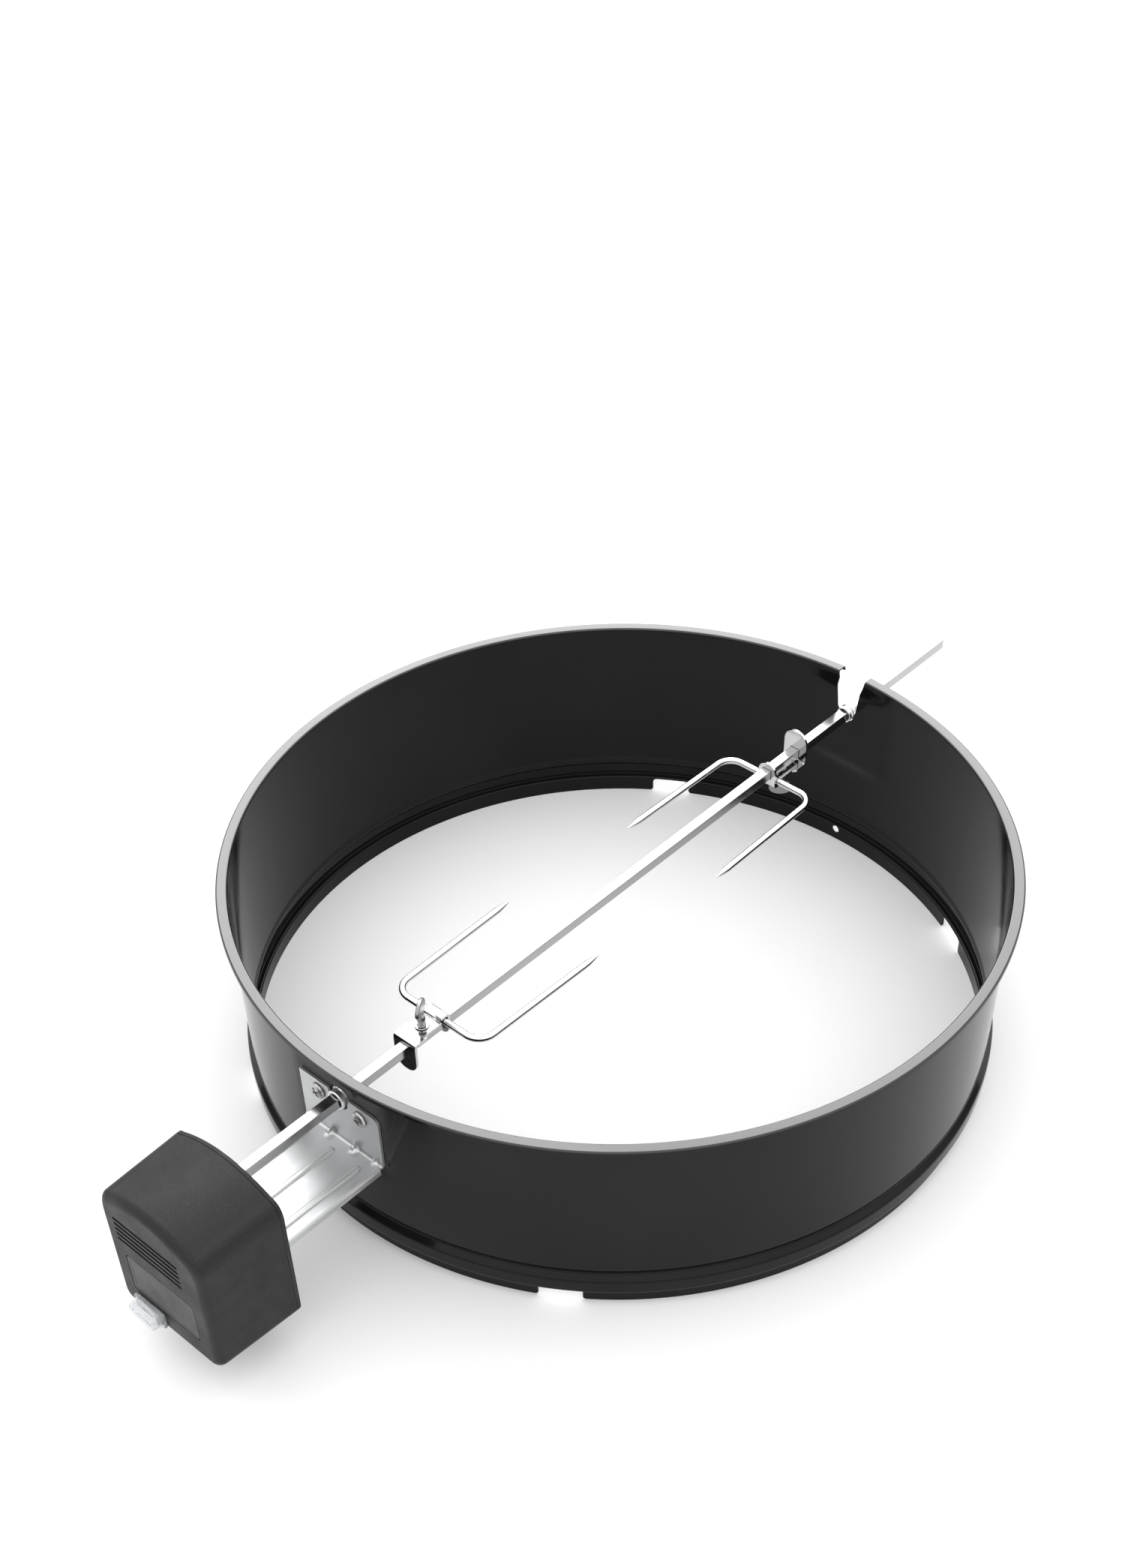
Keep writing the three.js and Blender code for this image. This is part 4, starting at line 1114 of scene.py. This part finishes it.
def sky():
    """White overhead, falling to dark at the horizon for reflections, with a plain white backdrop."""
    world = bpy.data.worlds.new("studio")
    world.use_nodes = True
    tree = world.node_tree
    direction = tree.nodes.new("ShaderNodeTexCoord")
    split = tree.nodes.new("ShaderNodeSeparateXYZ")
    level = tree.nodes.new("ShaderNodeMapRange")
    for socket, value in (("From Min", 0.04), ("From Max", 0.34), ("To Min", 0.12), ("To Max", 1.72)):
        level.inputs[socket].default_value = value
    background = tree.nodes["Background"]
    background.inputs["Color"].default_value = (1, 1, 1, 1)
    backdrop = tree.nodes.new("ShaderNodeBackground")
    backdrop.inputs["Color"].default_value = (1, 1, 1, 1)
    seen = tree.nodes.new("ShaderNodeLightPath")
    choice = tree.nodes.new("ShaderNodeMixShader")
    tree.links.new(direction.outputs["Generated"], split.inputs[0])
    tree.links.new(split.outputs["Z"], level.inputs["Value"])
    tree.links.new(level.outputs["Result"], background.inputs["Strength"])
    tree.links.new(seen.outputs["Is Camera Ray"], choice.inputs[0])
    tree.links.new(background.outputs[0], choice.inputs[1])
    tree.links.new(backdrop.outputs[0], choice.inputs[2])
    tree.links.new(choice.outputs[0], tree.nodes["World Output"].inputs["Surface"])
    bpy.context.scene.world = world


def lights():
    shine = soft_light("panel_for_shine", (2.1, 1.85, 2.5), 2.8, 5.0)
    shine.visible_diffuse = False
    soft_light("panel_behind", (1.0, 2.6, 2.6), 2.2, 0.8)
    sky()


CAMERA_OFFSET = Vector((-0.8395, -0.7381, 1.0979))
CAMERA_DOWN = math.radians(48.07)
CAMERA_HEADING = math.radians(44.06)
CAMERA_ROLL = math.radians(-3.53)
CAMERA_LENS = 45.82
CAMERA_SHIFT_X = 0.0341
CAMERA_SHIFT_Y = 0.2281


def camera():
    """Looks down over the motor unit at the ring, from a little to its right."""
    ahead = Vector((math.cos(CAMERA_DOWN) * math.sin(CAMERA_HEADING),
                    math.cos(CAMERA_DOWN) * math.cos(CAMERA_HEADING), -math.sin(CAMERA_DOWN)))
    right = Vector((math.cos(CAMERA_HEADING), -math.sin(CAMERA_HEADING), 0))
    up = right.cross(ahead)
    turned_right = right * math.cos(CAMERA_ROLL) + up * math.sin(CAMERA_ROLL)
    turned_up = up * math.cos(CAMERA_ROLL) - right * math.sin(CAMERA_ROLL)
    axes = Matrix((turned_right, turned_up, -ahead)).transposed().to_4x4()
    data = bpy.data.cameras.new("camera")
    data.sensor_width = 36
    data.sensor_fit = "AUTO"
    data.lens = CAMERA_LENS
    data.shift_x = CAMERA_SHIFT_X
    data.shift_y = CAMERA_SHIFT_Y
    data.clip_end = 60
    obj = bpy.data.objects.new("camera", data)
    bpy.context.scene.collection.objects.link(obj)
    obj.matrix_world = Matrix.Translation(RING_CENTRE + CAMERA_OFFSET) @ axes
    bpy.context.scene.camera = obj


# ---------------------------------------------------------------- making
enamel = enamel_material("black_enamel", 1.24, 0.0)
rim_enamel = enamel_material("thick_enamel_of_the_rim", 1.5, 0.3)
stainless = stainless_material()
chrome = chrome_material("bright_chrome", 0.62, (0.07, 0.15))
spit_steel = chrome_material("plated_spit", 0.42, (0.16, 0.26))
turned_steel = chrome_material("turned_steel", 0.8, (0.26, 0.38))
cast_metal = chrome_material("cast_thumb_screw", 0.27, (0.26, 0.4))
fastener = fastener_material()
black_plastic = grained_plastic("grained_black_plastic", (0.008, 0.008, 0.0084),
                                (0.019, 0.019, 0.0198), 0.0002)
label_plastic = grained_plastic("label_plastic", (0.035, 0.035, 0.036), (0.075, 0.075, 0.077),
                                0.00012)
clear_plastic = clear_material()
bezel_plastic = bezel_material()
pale_plastic = gloss_plastic("pale_switch_key", (0.62, 0.62, 0.61), (0.72, 0.72, 0.71))
nylon = gloss_plastic("natural_nylon", (0.66, 0.63, 0.55), (0.74, 0.71, 0.63))
brass = metal_material("brass", (0.52, 0.36, 0.15), (0.62, 0.45, 0.2), (0.25, 0.4))
iron = metal_material("motor_iron", (0.2, 0.2, 0.21), (0.3, 0.3, 0.31), (0.4, 0.55))

camera()
stage()
lights()
bpy.context.scene.view_settings.view_transform = "Standard"
ring()
bracket()
bracket_fasteners()
housing()
cover()
label()
switch_frame()
switch_key()
switch_cover()
spit()
collar("near_collar", "collar_motor_side", ((-4.4, -2.8), (2.2, 3.8)))
collar("far_collar", "collar_free_side", ((-1.3, 1.3),))
fork("near", fork_place(far=False), "fork_motor_side", 31)
fork("far", fork_place(far=True), "fork_free_side", 49)
dress_inner_parts()
